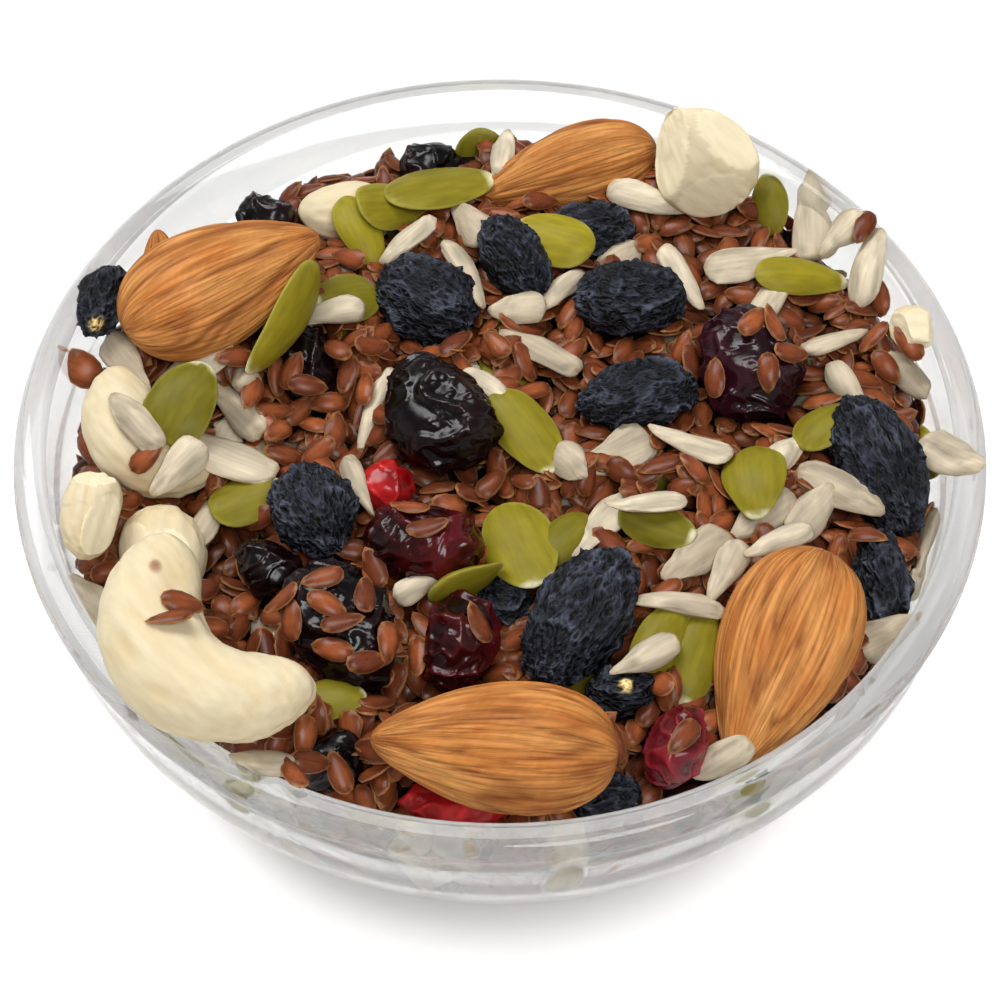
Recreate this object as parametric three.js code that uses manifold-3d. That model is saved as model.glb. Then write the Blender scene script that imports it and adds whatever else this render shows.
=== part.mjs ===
// A clear glass bowl filled with a mix of nuts, dried fruit and seeds.
// Millimetres, +Z up, origin at the centre of the bowl's foot.

import * as THREE from "three";
import { mergeVertices } from "three/addons/utils/BufferGeometryUtils.js";
import Module from "manifold-3d";

// Bowl
const RIM_RADIUS = 53;
const BOWL_HEIGHT = 45;
const RIM_BEAD_RADIUS = 1.7;
const RIM_INNER_RADIUS = 49.3;
const RIM_INNER_ROUNDING = 1;
const RIM_BEAD_START = -0.3;
const FOOT_RADIUS = 27.5;
const FOOT_INNER_RADIUS = 22;
const FOOT_RECESS = 0.9;
const FOOT_BEVEL = 1;
const FLOOR_THICKNESS = 5.5;
const COLLAR_FOOT = [52, 37];
const COLLAR_GROOVE = [51.7, 39.5];
const BOWL_SEGMENTS = 44;
const INSIDE_STEPS = 8;
const OUTSIDE_STEPS = 5;
const RIM_BEAD_STEPS = 4;
const RIM_INNER_STEPS = 3;

// Bowl outlines as radius and height: the points that the inside passes through, from below the rim to the
// middle of the floor, and the ends and handles of the outside's curve, from the foot to below the collar
const INSIDE_POINTS = [[48.9, 40], [47.6, 32], [43.4, 22], [35, 12], [20, 6.4], [0, FLOOR_THICKNESS]];
const OUTSIDE_HANDLES = [[29, 1], [38.5, 4.5], [46.5, 17], [51.6, 33.5]];

// Heap of small seeds
const CLEARANCE = 0.35;
const HEAP_RADIUS = 47.2;
const HEAP_WALL_GAP = 1;
const HEAP_WALL_LEVEL = 37.5;
const HEAP_CROWN_LEVEL = 38.5;
const HEAP_LEAN = 0.045;
const HEAP_LEAN_TOWARDS = 20;
const HEAP_LEAN_DEPTH = 4;
const HEAP_LEAN_MARGIN = 1;
const HEAP_SEGMENTS = 28;
const HEAP_DOME_SHARES = [0.7, 0.35, 0];
const HEAP_RANDOM_SEED = 7;
const SEEDS_WALL_GAP = 4;
const POCKET_GROWTH = 1.6;
const LIFT_STEP = 0.25;
const MERGE_TOLERANCE = 1e-4;

// Seeds: length, width, thickness, and how many are spread over the heap
const PUMPKIN_SEED = { size: [13, 7.5, 2.6], taper: 0.3, sides: 8, rings: 4, count: 16 };
const SUNFLOWER_KERNEL = { size: [10.5, 4.8, 3.2], taper: 0.42, sides: 6, rings: 4, count: 36 };
const FLAX_SEED = { size: [4.8, 2.4, 1.3], taper: 0.25, sides: 6, rings: 3, count: 120 };
const SEED_TILT = 24;
const SEED_POINT = 0.1;
const SEED_RAISED_SHARE = 0.4;

// Forms of the nuts and fruits: how far they narrow, how pointed or blunt their ends, how deep their dents
const ALMOND = { taper: 0.15, point: 0.09, sides: 12, rings: 8 };
const CASHEW = { taper: 0.1, bluntness: 0.35, sides: 10, rings: 10 };
const HALF_CASHEW = { taper: 0.18, point: 0, sides: 10, rings: 8 };
const NUT_PIECE = { dent: 0.08, firstShape: 90, sides: 8, rings: 5 };
const RAISIN = { dent: 0.1, firstShape: 40, sides: 9, rings: 6 };
const CRANBERRY = { dent: 0.16, firstShape: 1, sides: 9, rings: 6 };
const DENT_WAVES = 3;
const DENT_FREQUENCY = 3.2;
const DENT_SEED_STEP = 977;
const DENT_SEED_START = 11;
const POINT_SHARPNESS = 6;

// Nuts and fruits, the lower ones of each kind first: place of the middle, turn about Z, rise of the long
// axis, roll about it, and size. A whole cashew has the girth of its arms beside its length, its depth
// across the bend and its thickness; one that bends little comes out shorter, as its ends are drawn in.
const ALMONDS = [
  { at: [-31.5, 15.5, 48], turn: [30, 5, 20], size: [24.5, 14.5, 8] },
  { at: [8.5, 40, 41], turn: [-170, -13, -55], size: [22.5, 11.5, 7] },
  { at: [0, -41, 44.5], turn: [177, 2, -35], size: [24.5, 13.5, 8.5] },
  { at: [29, -29, 43], turn: [-115, -18, 5], size: [24.5, 14.5, 8.5] },
  { at: [-39, 23, 40.5], turn: [100, 50, 0], size: [12, 6.5, 5] },
];
const CASHEWS = [
  { at: [-36.5, -14.5, 38.5], turn: [-90, -5, 0], size: [13, 10, 8] },
  { at: [-43.8, -12, 43.5], turn: [-95, -15, 0], size: [15.5, 7.5, 6.5], girth: 6.2 },
  { at: [-40, -0.5, 41], turn: [-46, -10, 10], size: [22, 15, 8.5], girth: 9.5 },
  { at: [23.5, 36.5, 47], turn: [150, 40, -50], size: [15, 13, 5.5] },
  { at: [-18.5, 36, 38.5], turn: [180, 0, -20], size: [12, 8, 7] },
  { at: [-31, -33.8, 48], turn: [-47, -6, 8], size: [29, 20.5, 10], girth: 11 },
];
const NUT_PIECES = [
  { at: [46, 11, 46], turn: [0, 0, 10], size: [5.8, 6, 5] },
];
const RAISINS = [
  { at: [12.5, -32, 40], turn: [0, 0, 20], size: [7.5, 5.5, 6.5] },
  { at: [0.5, -20.5, 38.5], turn: [0, 0, 20], size: [6.5, 6, 6.5] },
  { at: [10.8, -43.2, 38], turn: [0, 0, 20], size: [7, 6, 5.5] },
  { at: [-44.5, 15, 45], turn: [75, 0, 0], size: [10, 5.4, 6.8] },
  { at: [10.5, 30.5, 41], turn: [0, 0, 20], size: [10.5, 7.5, 7] },
  { at: [-8.5, 19.5, 42], turn: [-30, -10, 17], size: [12, 10.5, 8.5] },
  { at: [1.5, 24.5, 43], turn: [-55, -15, 12], size: [11.5, 7.5, 8] },
  { at: [15, 18.5, 43], turn: [0, 0, 20], size: [13.5, 9.5, 8] },
  { at: [15.5, 4.5, 43], turn: [10, 5, 20], size: [14, 8, 7.5] },
  { at: [41.2, -5.5, 43], turn: [-65, -15, 9], size: [17, 9.5, 8.5] },
  { at: [40.5, -19, 41.5], turn: [-80, -20, 5], size: [10, 6, 6.5] },
  { at: [-20, -10.5, 42], turn: [-60, -17, 10], size: [11, 9.5, 8.5] },
  { at: [8.5, -24.5, 43], turn: [57, 17, 11], size: [16, 10.5, 8.5] },
];
const CRANBERRIES = [
  { at: [-12.5, -5, 39], turn: [-20, -7, 20], size: [7, 5.5, 6] },
  { at: [-4.5, -43.4, 36.7], turn: [0, 0, 20], size: [12, 6, 5.5] },
  { at: [-24.5, -17, 40], turn: [-30, -10, 17], size: [8, 7, 7] },
  { at: [-22, 11, 40.5], turn: [-80, -20, 3], size: [10.5, 7, 7] },
  { at: [-9, 44, 38.5], turn: [10, 4, 20], size: [8.5, 5.5, 6.5] },
  { at: [-28.5, 35, 38.5], turn: [-15, -5, 20], size: [7, 6, 6.5] },
  { at: [-17, -39.5, 39], turn: [0, 0, 20], size: [6.5, 6.5, 7] },
  { at: [-6, 1, 43], turn: [-40, -13, 15], size: [14, 12.5, 8.5] },
  { at: [-8, -14.5, 42], turn: [-12, -4, 20], size: [14, 9, 8] },
  { at: [-17, -24.5, 41.5], turn: [-50, -15, 13], size: [15, 11.5, 8] },
  { at: [-4.5, -26.5, 41], turn: [80, 20, 3], size: [10, 8, 8] },
  { at: [28.3, 9.5, 42.5], turn: [-70, -19, 7], size: [14, 11.5, 8.5] },
  { at: [17.8, -39, 41], turn: [72, 19, 7], size: [10, 6.5, 7] },
];

const LOOKS = {
  glass: { color: 0xf4f7f6, roughness: 0.04, metalness: 0, transparent: true, opacity: 0.35 },
  seeds: { color: 0x7a4526, roughness: 0.55, metalness: 0 },
  almond: { color: 0xb36a2e, roughness: 0.7, metalness: 0 },
  cashew: { color: 0xeedfb8, roughness: 0.6, metalness: 0 },
  raisin: { color: 0x23242c, roughness: 0.75, metalness: 0 },
  cranberry: { color: 0x3a0d12, roughness: 0.35, metalness: 0 },
};

const wasm = await Module();
wasm.setup();

// Seeded random numbers from 0 to 1, the same on every run
const RANDOM_FACTOR = 16807;
const RANDOM_RANGE = 2147483647;
function randomFrom(seed) {
  let state = seed;
  return () => {
    state = (state * RANDOM_FACTOR) % RANDOM_RANGE;
    return state / RANDOM_RANGE;
  };
}

function solidOf(geometry) {
  const bare = geometry.clone();
  bare.deleteAttribute("normal");
  bare.deleteAttribute("uv");
  const merged = mergeVertices(bare, MERGE_TOLERANCE);
  const vertProperties = new Float32Array(merged.attributes.position.array);
  const triVerts = new Uint32Array(merged.index.array);
  return new wasm.Manifold(new wasm.Mesh({ numProp: 3, vertProperties, triVerts }));
}

function geometryOf(solid) {
  const mesh = solid.getMesh();
  const geometry = new THREE.BufferGeometry();
  geometry.setAttribute("position", new THREE.BufferAttribute(mesh.vertProperties, 3));
  geometry.setIndex(new THREE.BufferAttribute(mesh.triVerts, 1));
  geometry.computeVertexNormals();
  return geometry;
}

function outlinePoint([radius, height]) {
  return new THREE.Vector2(radius, height);
}

const INSIDE_WALL = new THREE.SplineCurve(INSIDE_POINTS.map(outlinePoint)).getPoints(INSIDE_STEPS);

// An arc of a round edge of the rim that touches the rim's top
function rimArc(middle, radius, start, end) {
  return new THREE.EllipseCurve(middle, BOWL_HEIGHT - radius, radius, radius, start, end);
}

// Profile of the bowl from the middle of its underside, out over the rim and back to the middle of the floor
function bowlProfile() {
  const outside = new THREE.CubicBezierCurve(...OUTSIDE_HANDLES.map(outlinePoint));
  const bead = rimArc(RIM_RADIUS - RIM_BEAD_RADIUS, RIM_BEAD_RADIUS, RIM_BEAD_START, Math.PI / 2);
  const innerEdge = rimArc(RIM_INNER_RADIUS + RIM_INNER_ROUNDING, RIM_INNER_ROUNDING, Math.PI / 2, Math.PI);
  return [
    new THREE.Vector2(0, FOOT_RECESS),
    new THREE.Vector2(FOOT_INNER_RADIUS, FOOT_RECESS),
    new THREE.Vector2(FOOT_INNER_RADIUS + FOOT_BEVEL, 0),
    new THREE.Vector2(FOOT_RADIUS, 0),
    ...outside.getPoints(OUTSIDE_STEPS),
    outlinePoint(COLLAR_FOOT),
    outlinePoint(COLLAR_GROOVE),
    ...bead.getPoints(RIM_BEAD_STEPS),
    ...innerEdge.getPoints(RIM_INNER_STEPS),
    ...INSIDE_WALL,
  ];
}

function latheUpright(profile, segments) {
  const geometry = new THREE.LatheGeometry(profile, segments);
  geometry.rotateX(Math.PI / 2);
  return geometry;
}

// Inside of the bowl, held off the glass by a small gap, filled up to a domed top that leans to one side
function heapCore() {
  const wall = INSIDE_WALL.filter((point) => point.y < HEAP_WALL_LEVEL - HEAP_LEAN_DEPTH).toReversed();
  const sides = wall.map(
    (point) => new THREE.Vector2(Math.max(point.x - HEAP_WALL_GAP, 0), point.y + HEAP_WALL_GAP),
  );
  const edge = new THREE.Vector2(HEAP_RADIUS, HEAP_WALL_LEVEL);
  const dome = HEAP_DOME_SHARES.map((share) => new THREE.Vector2(HEAP_RADIUS * share, domeHeight(share)));
  const geometry = latheUpright([...sides, edge, ...dome], HEAP_SEGMENTS);
  const place = geometry.attributes.position;
  const leanEnd = HEAP_WALL_LEVEL - HEAP_LEAN_MARGIN;
  for (let i = 0; i < place.count; i++) {
    const share = THREE.MathUtils.smoothstep(place.getZ(i), leanEnd - HEAP_LEAN_DEPTH, leanEnd);
    place.setZ(i, place.getZ(i) + share * leanHeight(place.getX(i), place.getY(i)));
  }
  return geometry;
}

function domeHeight(share) {
  return HEAP_WALL_LEVEL + (HEAP_CROWN_LEVEL - HEAP_WALL_LEVEL) * (1 - share ** 2);
}

function leanHeight(x, y) {
  const towards = THREE.MathUtils.degToRad(HEAP_LEAN_TOWARDS);
  return HEAP_LEAN * (x * Math.cos(towards) + y * Math.sin(towards));
}

function heapTop(x, y) {
  return domeHeight(Math.hypot(x, y) / HEAP_RADIUS) + leanHeight(x, y);
}

// A round body whose poles lie on X: bend() moves each point of the unit sphere to its place
function roundBody(sides, rings, bend) {
  const geometry = new THREE.SphereGeometry(1, sides, rings);
  geometry.rotateZ(-Math.PI / 2);
  const place = geometry.attributes.position;
  const point = new THREE.Vector3();
  for (let i = 0; i < place.count; i++) {
    point.fromBufferAttribute(place, i);
    bend(point);
    place.setXYZ(i, point.x, point.y, point.z);
  }
  geometry.computeVertexNormals();
  return geometry;
}

// A drop with its narrow end on +X
function dropBody([length, width, thickness], { taper, point, sides, rings }) {
  return roundBody(sides, rings, (p) => {
    const narrow = 1 - taper * p.x;
    const reach = p.x + point * Math.max(p.x, 0) ** POINT_SHARPNESS;
    p.set((reach * length) / (2 + point), (p.y * narrow * width) / 2, (p.z * narrow * thickness) / 2);
  });
}

// A crescent that opens towards +Y, with blunt ends. Its middle line is an arc with the chord and the sag
// that the girth leaves of the length and the depth.
function cashewBody([length, depth, thickness], girth) {
  const chord = length - girth;
  const sag = depth - girth;
  const arc = (chord ** 2 / 4 + sag ** 2) / (2 * sag);
  const halfSpan = 2 * Math.atan((2 * sag) / chord);
  const geometry = roundBody(CASHEW.sides, CASHEW.rings, (p) => {
    const angle = p.x * halfSpan;
    const spread = Math.hypot(p.y, p.z);
    const fullness = spread > 0 ? spread ** -CASHEW.bluntness * (1 - CASHEW.taper * p.x) : 0;
    const inward = (p.y * fullness * girth) / 2;
    p.set(
      (arc - inward) * Math.sin(angle),
      arc * (1 - Math.cos(angle)) + inward * Math.cos(angle),
      (p.z * fullness * thickness) / 2,
    );
  });
  geometry.center();
  return geometry;
}

// A whole cashew, or a half without arms where no girth is given; a wider size has arms as much wider
function cashewForm(spot, size) {
  if (spot.girth === undefined) {
    return dropBody(size, HALF_CASHEW);
  }
  return cashewBody(size, spot.girth + size[0] - spot.size[0]);
}

// A dried berry with a few shallow dents, different for each berry of its kind
function berryBody([length, width, thickness], { dent, firstShape, sides, rings }, i) {
  const random = randomFrom((firstShape + i) * DENT_SEED_STEP + DENT_SEED_START);
  const waves = Array.from({ length: DENT_WAVES }, () => ({
    way: new THREE.Vector3(random() - 0.5, random() - 0.5, random() - 0.5).normalize(),
    shift: random() * Math.PI * 2,
  }));
  const swell = (p, wave) => Math.sin(DENT_FREQUENCY * p.dot(wave.way) + wave.shift);
  return roundBody(sides, rings, (p) => {
    const scale = 1 + waves.reduce((sum, wave) => sum + (dent * swell(p, wave)) / DENT_WAVES, 0);
    p.set((p.x * scale * length) / 2, (p.y * scale * width) / 2, (p.z * scale * thickness) / 2);
  });
}

// Turn about Z, then rise of the long axis, then roll about it
function placement(at, [turn, rise, roll]) {
  const angles = [roll, -rise, turn].map(THREE.MathUtils.degToRad);
  const rotation = new THREE.Euler(angles[0], angles[1], angles[2], "ZYX");
  const matrix = new THREE.Matrix4().makeRotationFromEuler(rotation);
  return matrix.setPosition(...at);
}

// Raises a piece in small steps until it is clear of everything that is already in place
function settle(solid, spot, placed) {
  const [x, y, middle] = spot.at;
  let z = middle;
  let matrix = placement(spot.at, spot.turn);
  let moved = solid.transform(matrix.elements);
  while (placed.some((other) => moved.minGap(other, CLEARANCE) < CLEARANCE)) {
    z += LIFT_STEP;
    matrix = placement([x, y, z], spot.turn);
    moved = solid.transform(matrix.elements);
  }
  placed.push(moved);
  return matrix;
}

function addMesh(group, name, geometry, look, matrix) {
  const mesh = new THREE.Mesh(geometry, new THREE.MeshStandardMaterial(LOOKS[look]));
  mesh.name = name;
  matrix.decompose(mesh.position, mesh.quaternion, mesh.scale);
  group.add(mesh);
}

// Seeds spread over the heap on a golden-angle spiral, partly sunk in the core and clear of what lies on it
function spreadSeeds(kind, reach, random, keepOut) {
  const golden = Math.PI * (3 - Math.sqrt(5));
  const form = solidOf(dropBody(kind.size, { ...kind, point: SEED_POINT }));
  const solids = [];
  for (let i = 0; i < kind.count; i++) {
    const radius = reach * Math.sqrt((i + random()) / kind.count);
    const angle = i * golden + random();
    const x = radius * Math.cos(angle);
    const y = radius * Math.sin(angle);
    const tilt = () => (random() * 2 - 1) * SEED_TILT;
    const z = heapTop(x, y) + kind.size[2] * SEED_RAISED_SHARE;
    const matrix = placement([x, y, z], [random() * 360, tilt(), tilt()]);
    const seed = form.transform(matrix.elements);
    if (keepOut.every((other) => seed.minGap(other, CLEARANCE) >= CLEARANCE)) {
      solids.push(seed);
    }
  }
  return solids;
}

function largestBody(solid) {
  const bodies = solid.decompose();
  return bodies.reduce((best, body) => (body.volume() > best.volume() ? body : best));
}

const bowlOfSeedMix = new THREE.Group();
const bowl = latheUpright(bowlProfile(), BOWL_SEGMENTS);
addMesh(bowlOfSeedMix, "bowl", bowl, "glass", new THREE.Matrix4());

const berryForm = (berry) => (spot, size, i) => berryBody(size, berry, i);
const KINDS = [
  { name: "cranberry", look: "cranberry", spots: CRANBERRIES, form: berryForm(CRANBERRY) },
  { name: "raisin", look: "raisin", spots: RAISINS, form: berryForm(RAISIN) },
  { name: "cashew", look: "cashew", spots: CASHEWS, form: cashewForm },
  { name: "almond", look: "almond", spots: ALMONDS, form: (spot, size) => dropBody(size, ALMOND) },
  { name: "nut_piece", look: "cashew", spots: NUT_PIECES, form: berryForm(NUT_PIECE) },
];

const placed = [solidOf(bowl)];
const pockets = [];
for (const kind of KINDS) {
  kind.spots.forEach((spot, i) => {
    const geometry = kind.form(spot, spot.size, i);
    const matrix = settle(solidOf(geometry), spot, placed);
    const wider = spot.size.map((side) => side + POCKET_GROWTH);
    pockets.push(solidOf(kind.form(spot, wider, i)).transform(matrix.elements));
    addMesh(bowlOfSeedMix, `${kind.name}_${i + 1}`, geometry, kind.look, matrix);
  });
}

const core = solidOf(heapCore());
const random = randomFrom(HEAP_RANDOM_SEED);
const reach = RIM_INNER_RADIUS - SEEDS_WALL_GAP;
const seeds = [PUMPKIN_SEED, SUNFLOWER_KERNEL, FLAX_SEED].flatMap(
  (kind) => spreadSeeds(kind, reach, random, placed),
);
const heap = largestBody(wasm.Manifold.union([core, ...seeds]).subtract(wasm.Manifold.union(pockets)));
addMesh(bowlOfSeedMix, "seed_mix", geometryOf(heap), "seeds", new THREE.Matrix4());

export default bowlOfSeedMix;
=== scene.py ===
"""Looks of a clear glass bowl filled with nuts, dried fruit and seeds.

The bowl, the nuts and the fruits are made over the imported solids, and the seeds are laid on the heap one by
one. Sizes are in millimetres until a mesh is made, +Z is up, and the origin is the middle of the bowl's foot.
"""

import math

import bpy
import numpy as np
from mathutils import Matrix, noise
from mathutils.bvhtree import BVHTree


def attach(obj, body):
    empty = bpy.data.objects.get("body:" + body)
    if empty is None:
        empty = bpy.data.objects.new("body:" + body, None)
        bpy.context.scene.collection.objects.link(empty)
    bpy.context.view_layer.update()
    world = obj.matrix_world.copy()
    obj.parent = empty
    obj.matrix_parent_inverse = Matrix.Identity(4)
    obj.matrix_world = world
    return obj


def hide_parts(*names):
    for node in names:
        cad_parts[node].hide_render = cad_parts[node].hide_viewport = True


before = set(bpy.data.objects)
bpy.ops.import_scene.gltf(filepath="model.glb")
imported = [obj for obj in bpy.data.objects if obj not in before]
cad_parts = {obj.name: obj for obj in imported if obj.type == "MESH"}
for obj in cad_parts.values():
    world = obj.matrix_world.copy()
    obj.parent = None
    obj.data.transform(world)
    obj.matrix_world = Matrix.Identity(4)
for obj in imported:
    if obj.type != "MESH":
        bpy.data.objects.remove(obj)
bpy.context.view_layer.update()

MM = 0.001
NEARLY_NONE = 1e-6
RANDOM = np.random.default_rng(23)

# Camera at the photo's viewpoint, in pixels of a square photo and in millimetres
PHOTO_SIDE = 1000
CAMERA_FOCAL = 2305
CAMERA_ELEVATION = math.radians(54.4)
CAMERA_DISTANCE = 245
CAMERA_TARGET = np.array([0, -11.3, 45])
CAMERA_BACK = np.array([0, -math.cos(CAMERA_ELEVATION), math.sin(CAMERA_ELEVATION)])
CAMERA_UP = np.array([0, math.sin(CAMERA_ELEVATION), math.cos(CAMERA_ELEVATION)])
CAMERA_PLACE = CAMERA_TARGET + CAMERA_DISTANCE * CAMERA_BACK
SENSOR_WIDTH = 36

# Glass bowl
RIM_RADIUS = 53
BOWL_HEIGHT = 45
RIM_BEAD_RADIUS = 1.7
RIM_INNER_RADIUS = 49.3
RIM_INNER_ROUNDING = 1
RIM_BEAD_START = -0.3
FOOT_RADIUS = 27.5
FOOT_INNER_RADIUS = 22
FOOT_RECESS = 0.9
FOOT_BEVEL = 1
COLLAR_FOOT = [52, 37]
COLLAR_GROOVE = [51.7, 39.5]
INSIDE_POINTS = [[48.9, 40], [47.6, 32], [43.4, 22], [35, 12], [20, 6.4], [0, 5.5]]
OUTSIDE_HANDLES = [[29, 1], [38.5, 4.5], [46.5, 17], [51.6, 33.5]]
BOWL_SEGMENTS = 160
CURVE_STEPS = 14

# Core of the heap, a low dome that leans to one side
HEAP_WALL_LEVEL = 36.6
HEAP_CROWN_RISE = 1
HEAP_LEAN = 0.045
HEAP_LEAN_TOWARDS = math.radians(20)
CORE_BEHIND_GLASS = 1.3
CORE_SEGMENTS = 120
CORE_WALL_ROWS = 30
CORE_TOP_ROWS = 30
CORE_GRAIN_SCALE = 0.5
CORE_TOP_RELIEF = 0.6
CORE_TOP_MARGIN = 0.5

# Seeds at rest: cells of the ground, the part of a seed that feels it, the highest step, the percentile of
# the ground that carries it, its middle's height by its thickness, and the steepest slopes
BED_CELL = 0.4
BED_REACH = 56
REST_CENTRE = 0.5
STEP_ABOVE = 1.8
REST_PERCENTILE = 70
REST_LIFT = 0.45
LOOSE_STEEPEST = 0.7
SPOT_STEEPEST = 0.5
EDGE_STEEPEST = 0.2
WALL_STEEPEST = 0.5
# Room under a nut: the least for loose seeds, the least for a flax seed, and the most that is left unfilled
ROOM_UNDER = 3.5
ROOM_FOR_FLAX = 1.4
ROOM_TO_FILL = 2
# Cover of the core below which a place is a gap, and the painted shade of seeds by their height above the
# core: seeds that lie low get a darker colour for the shade deep in the heap
GAP_DEPTH = 0.3
DEEP_PAINTED_SHADE = 0.32
DEEP_RANGE = (0.4, 2.2)
# Seeds placed by a pixel: heights at which sight is tested, most rise by their width, and their width's share
SIGHT_HEIGHTS = np.arange(60, 30, -0.1)
HIGHEST_RISE = 0.35
SPOT_WIDENING = 1.1
# Seeds at the glass: how far they reach into it, where they start on the floor, and the step for its slope
SEEDS_INTO_GLASS = 0.03
WALL_START = 6
WALL_STEP = 0.5
SIZE_SPREAD = (0.85, 1.12)
FRUIT_SPREAD = (0.8, 1.1)

# Numbers of seeds at the glass and on top, how far out those on top lie, and the tries to find gaps
WALL_COUNTS = {"pumpkin": 45, "sunflower": 190, "flax": 1450}
TOP_COUNTS = {"pumpkin": 10, "sunflower": 30, "flax": 1150}
TOP_REACH = {"pumpkin": 41, "sunflower": 43, "flax": 46.8}
GAP_TRIES = 8000

# Forms of the small seeds: length, width and thickness, how far they narrow, how pointed and how blunt they
# are, how sharp their edge is, how uneven and how grooved, and the depth of the line inside their rim
FLAX = {
    "size": [4.8, 2.5, 0.95], "taper": 0.08, "point": 0.3, "fullness": 0.9, "edge": 0.5, "lumps": 0.03,
    "uneven": 0.08, "grooves": 0, "sides": 10, "rings": 6, "rim": 0,
}
SUNFLOWER = {
    "size": [10, 3.9, 1.9], "taper": 0.26, "point": 0.3, "fullness": 0.78, "edge": 0.5, "lumps": 0.12,
    "uneven": 0.22, "grooves": 0.16, "sides": 16, "rings": 12, "rim": 0,
}
PUMPKIN = {
    "size": [12.5, 7, 2.2], "taper": 0.12, "point": 0.1, "fullness": 0.9, "edge": 0.4, "lumps": 0.05,
    "uneven": 0.1, "grooves": 0.02, "sides": 24, "rings": 16, "rim": 0.2,
}
# Finer points of these forms, in shares of a seed's size
RIM_DENSITY = 0.15
RIM_LINE_PLACE = 0.8
RIM_LINE_WIDTH = 0.08
POINT_POWER = 5
SEED_BEND = 0.1
SEED_BEND_MIDDLE = 0.4
LUMP_SCALE = 2.2
LUMP_WAYS = [0.4, 1, 1]
GROOVE_SCALE = [1.5, 8, 8]
NOISE_STARTS = 50

# Seeds that the photo shows: pixel of the middle, angle in the picture, length and width in pixels, and for
# one how far it is raised onto what lies under it
PUMPKIN_UNDER_SPOTS = [
    (347, 298, 20, 68, 55), (360, 232, -57, 75, 38), (390, 205, 25, 80, 50), (565, 540, 40, 75, 45),
    (770, 205, 90, 55, 35), (245, 500, 20, 75, 50), (330, 700, 0, 70, 45), (655, 523, -20, 80, 45),
    (660, 640, 50, 80, 45),
]
PUMPKIN_SPOTS = [
    (182, 403, 55, 80, 62, 3), (437, 188, 18, 115, 58), (555, 240, -15, 85, 50), (525, 430, -50, 95, 55),
    (520, 545, -65, 95, 68), (697, 655, 68, 90, 48), (755, 480, 90, 72, 57), (800, 277, 5, 100, 40),
    (830, 425, 30, 80, 46),
]
PUMPKIN_EDGE_SPOTS = [(287, 317, 56, 118, 19), (465, 583, 25, 80, 18)]
SUNFLOWER_SPOTS = [
    (195, 367, 10, 100, 30), (125, 360, -50, 80, 30), (240, 412, -40, 75, 30), (138, 425, -40, 75, 30),
    (230, 458, -15, 112, 46), (180, 465, 30, 70, 30), (247, 379, 0, 32, 28), (335, 313, 10, 70, 26),
    (378, 403, 65, 85, 24), (357, 482, -65, 70, 20), (410, 238, 35, 68, 30), (473, 225, -60, 70, 34),
    (462, 268, -63, 88, 25), (503, 155, 80, 60, 25), (643, 198, -15, 85, 28), (625, 258, 30, 68, 28),
    (680, 275, -60, 72, 26), (745, 262, 3, 95, 38), (545, 353, -27, 90, 30), (565, 287, 40, 62, 24),
    (520, 308, 0, 60, 30), (485, 385, -35, 60, 24), (620, 452, 22, 80, 42), (572, 463, -60, 68, 30),
    (695, 445, -20, 90, 25), (813, 222, 90, 84, 40), (868, 272, 70, 72, 30), (845, 232, 30, 60, 26),
    (832, 342, 17, 72, 25), (770, 300, 50, 70, 28), (845, 385, -60, 62, 25), (905, 373, -35, 70, 27),
    (605, 522, 45, 85, 35), (650, 503, 10, 85, 27), (418, 586, 15, 62, 22), (648, 655, 25, 76, 28),
    (685, 605, 0, 100, 32), (700, 553, 32, 82, 38), (765, 515, 28, 78, 35), (783, 540, 20, 78, 27),
    (727, 568, 60, 68, 28), (834, 487, -33, 100, 35), (810, 515, 40, 62, 36), (780, 458, 35, 62, 26),
    (885, 635, 20, 70, 35), (725, 757, 20, 70, 30), (95, 603, -40, 70, 30), (265, 762, 10, 72, 35),
    (207, 522, 60, 62, 26), (950, 455, -45, 85, 38),
]
# Flax seeds that lie on the fruits and the nuts: pixel of the middle and angle in the picture, and for an odd
# one its length and width too
FLAX_SPOTS = [
    (745, 297, -20), (752, 322, 40), (775, 325, -60), (789, 352, 10), (768, 370, 90), (715, 380, 90),
    (325, 577, 18), (325, 603, -22), (340, 622, 10), (335, 650, -12), (365, 662, 15), (292, 622, 90),
    (365, 597, 90), (388, 640, 90), (283, 597, 30), (355, 550, 0), (375, 570, -60),
    (418, 655, 90), (425, 527, 10), (412, 507, -15), (480, 625, -55), (180, 602, 0), (172, 617, 8),
    (145, 458, 30), (82, 369, -25, 50, 32), (237, 357, 20), (252, 392, 70), (272, 410, 15), (278, 375, 90),
    (291, 373, 60), (305, 385, 0), (297, 412, 40), (330, 403, 10), (315, 425, -30), (335, 432, 80),
    (280, 430, 50), (285, 455, 0), (320, 450, 25), (348, 372, 70), (338, 350, -40), (370, 345, 15),
    (365, 390, 90), (865, 535, -25), (865, 225, 60), (910, 345, -40), (885, 365, -45), (875, 335, 35),
    (880, 300, 90), (305, 735, 80), (308, 762, 10), (295, 775, -55), (340, 775, -60), (685, 735, 45),
]


def linear(red, green, blue):
    """A colour given as it looks on a screen, as the light that it stands for by the sRGB curve."""
    share = np.array([red, green, blue]) / 255
    return np.where(share <= 0.04045, share / 12.92, ((share + 0.055) / 1.055) ** 2.4)


def blend(first, second, share):
    """Colours between two, one for each share."""
    return first + (second - first) * np.clip(share, 0, 1)[:, None]


def pixels_of(points):
    """Where points come to lie in the photo."""
    apart = points - CAMERA_PLACE
    depth = -apart @ CAMERA_BACK
    across = CAMERA_FOCAL * apart[:, 0] / depth
    upward = CAMERA_FOCAL * (apart @ CAMERA_UP) / depth
    return PHOTO_SIDE / 2 + np.stack([across, -upward], axis=1)


def smoothstep(value, low, high):
    """Rises softly from none at the low value to one at the high value."""
    share = np.clip((value - low) / (high - low), 0, 1)
    return share * share * (3 - 2 * share)


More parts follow.
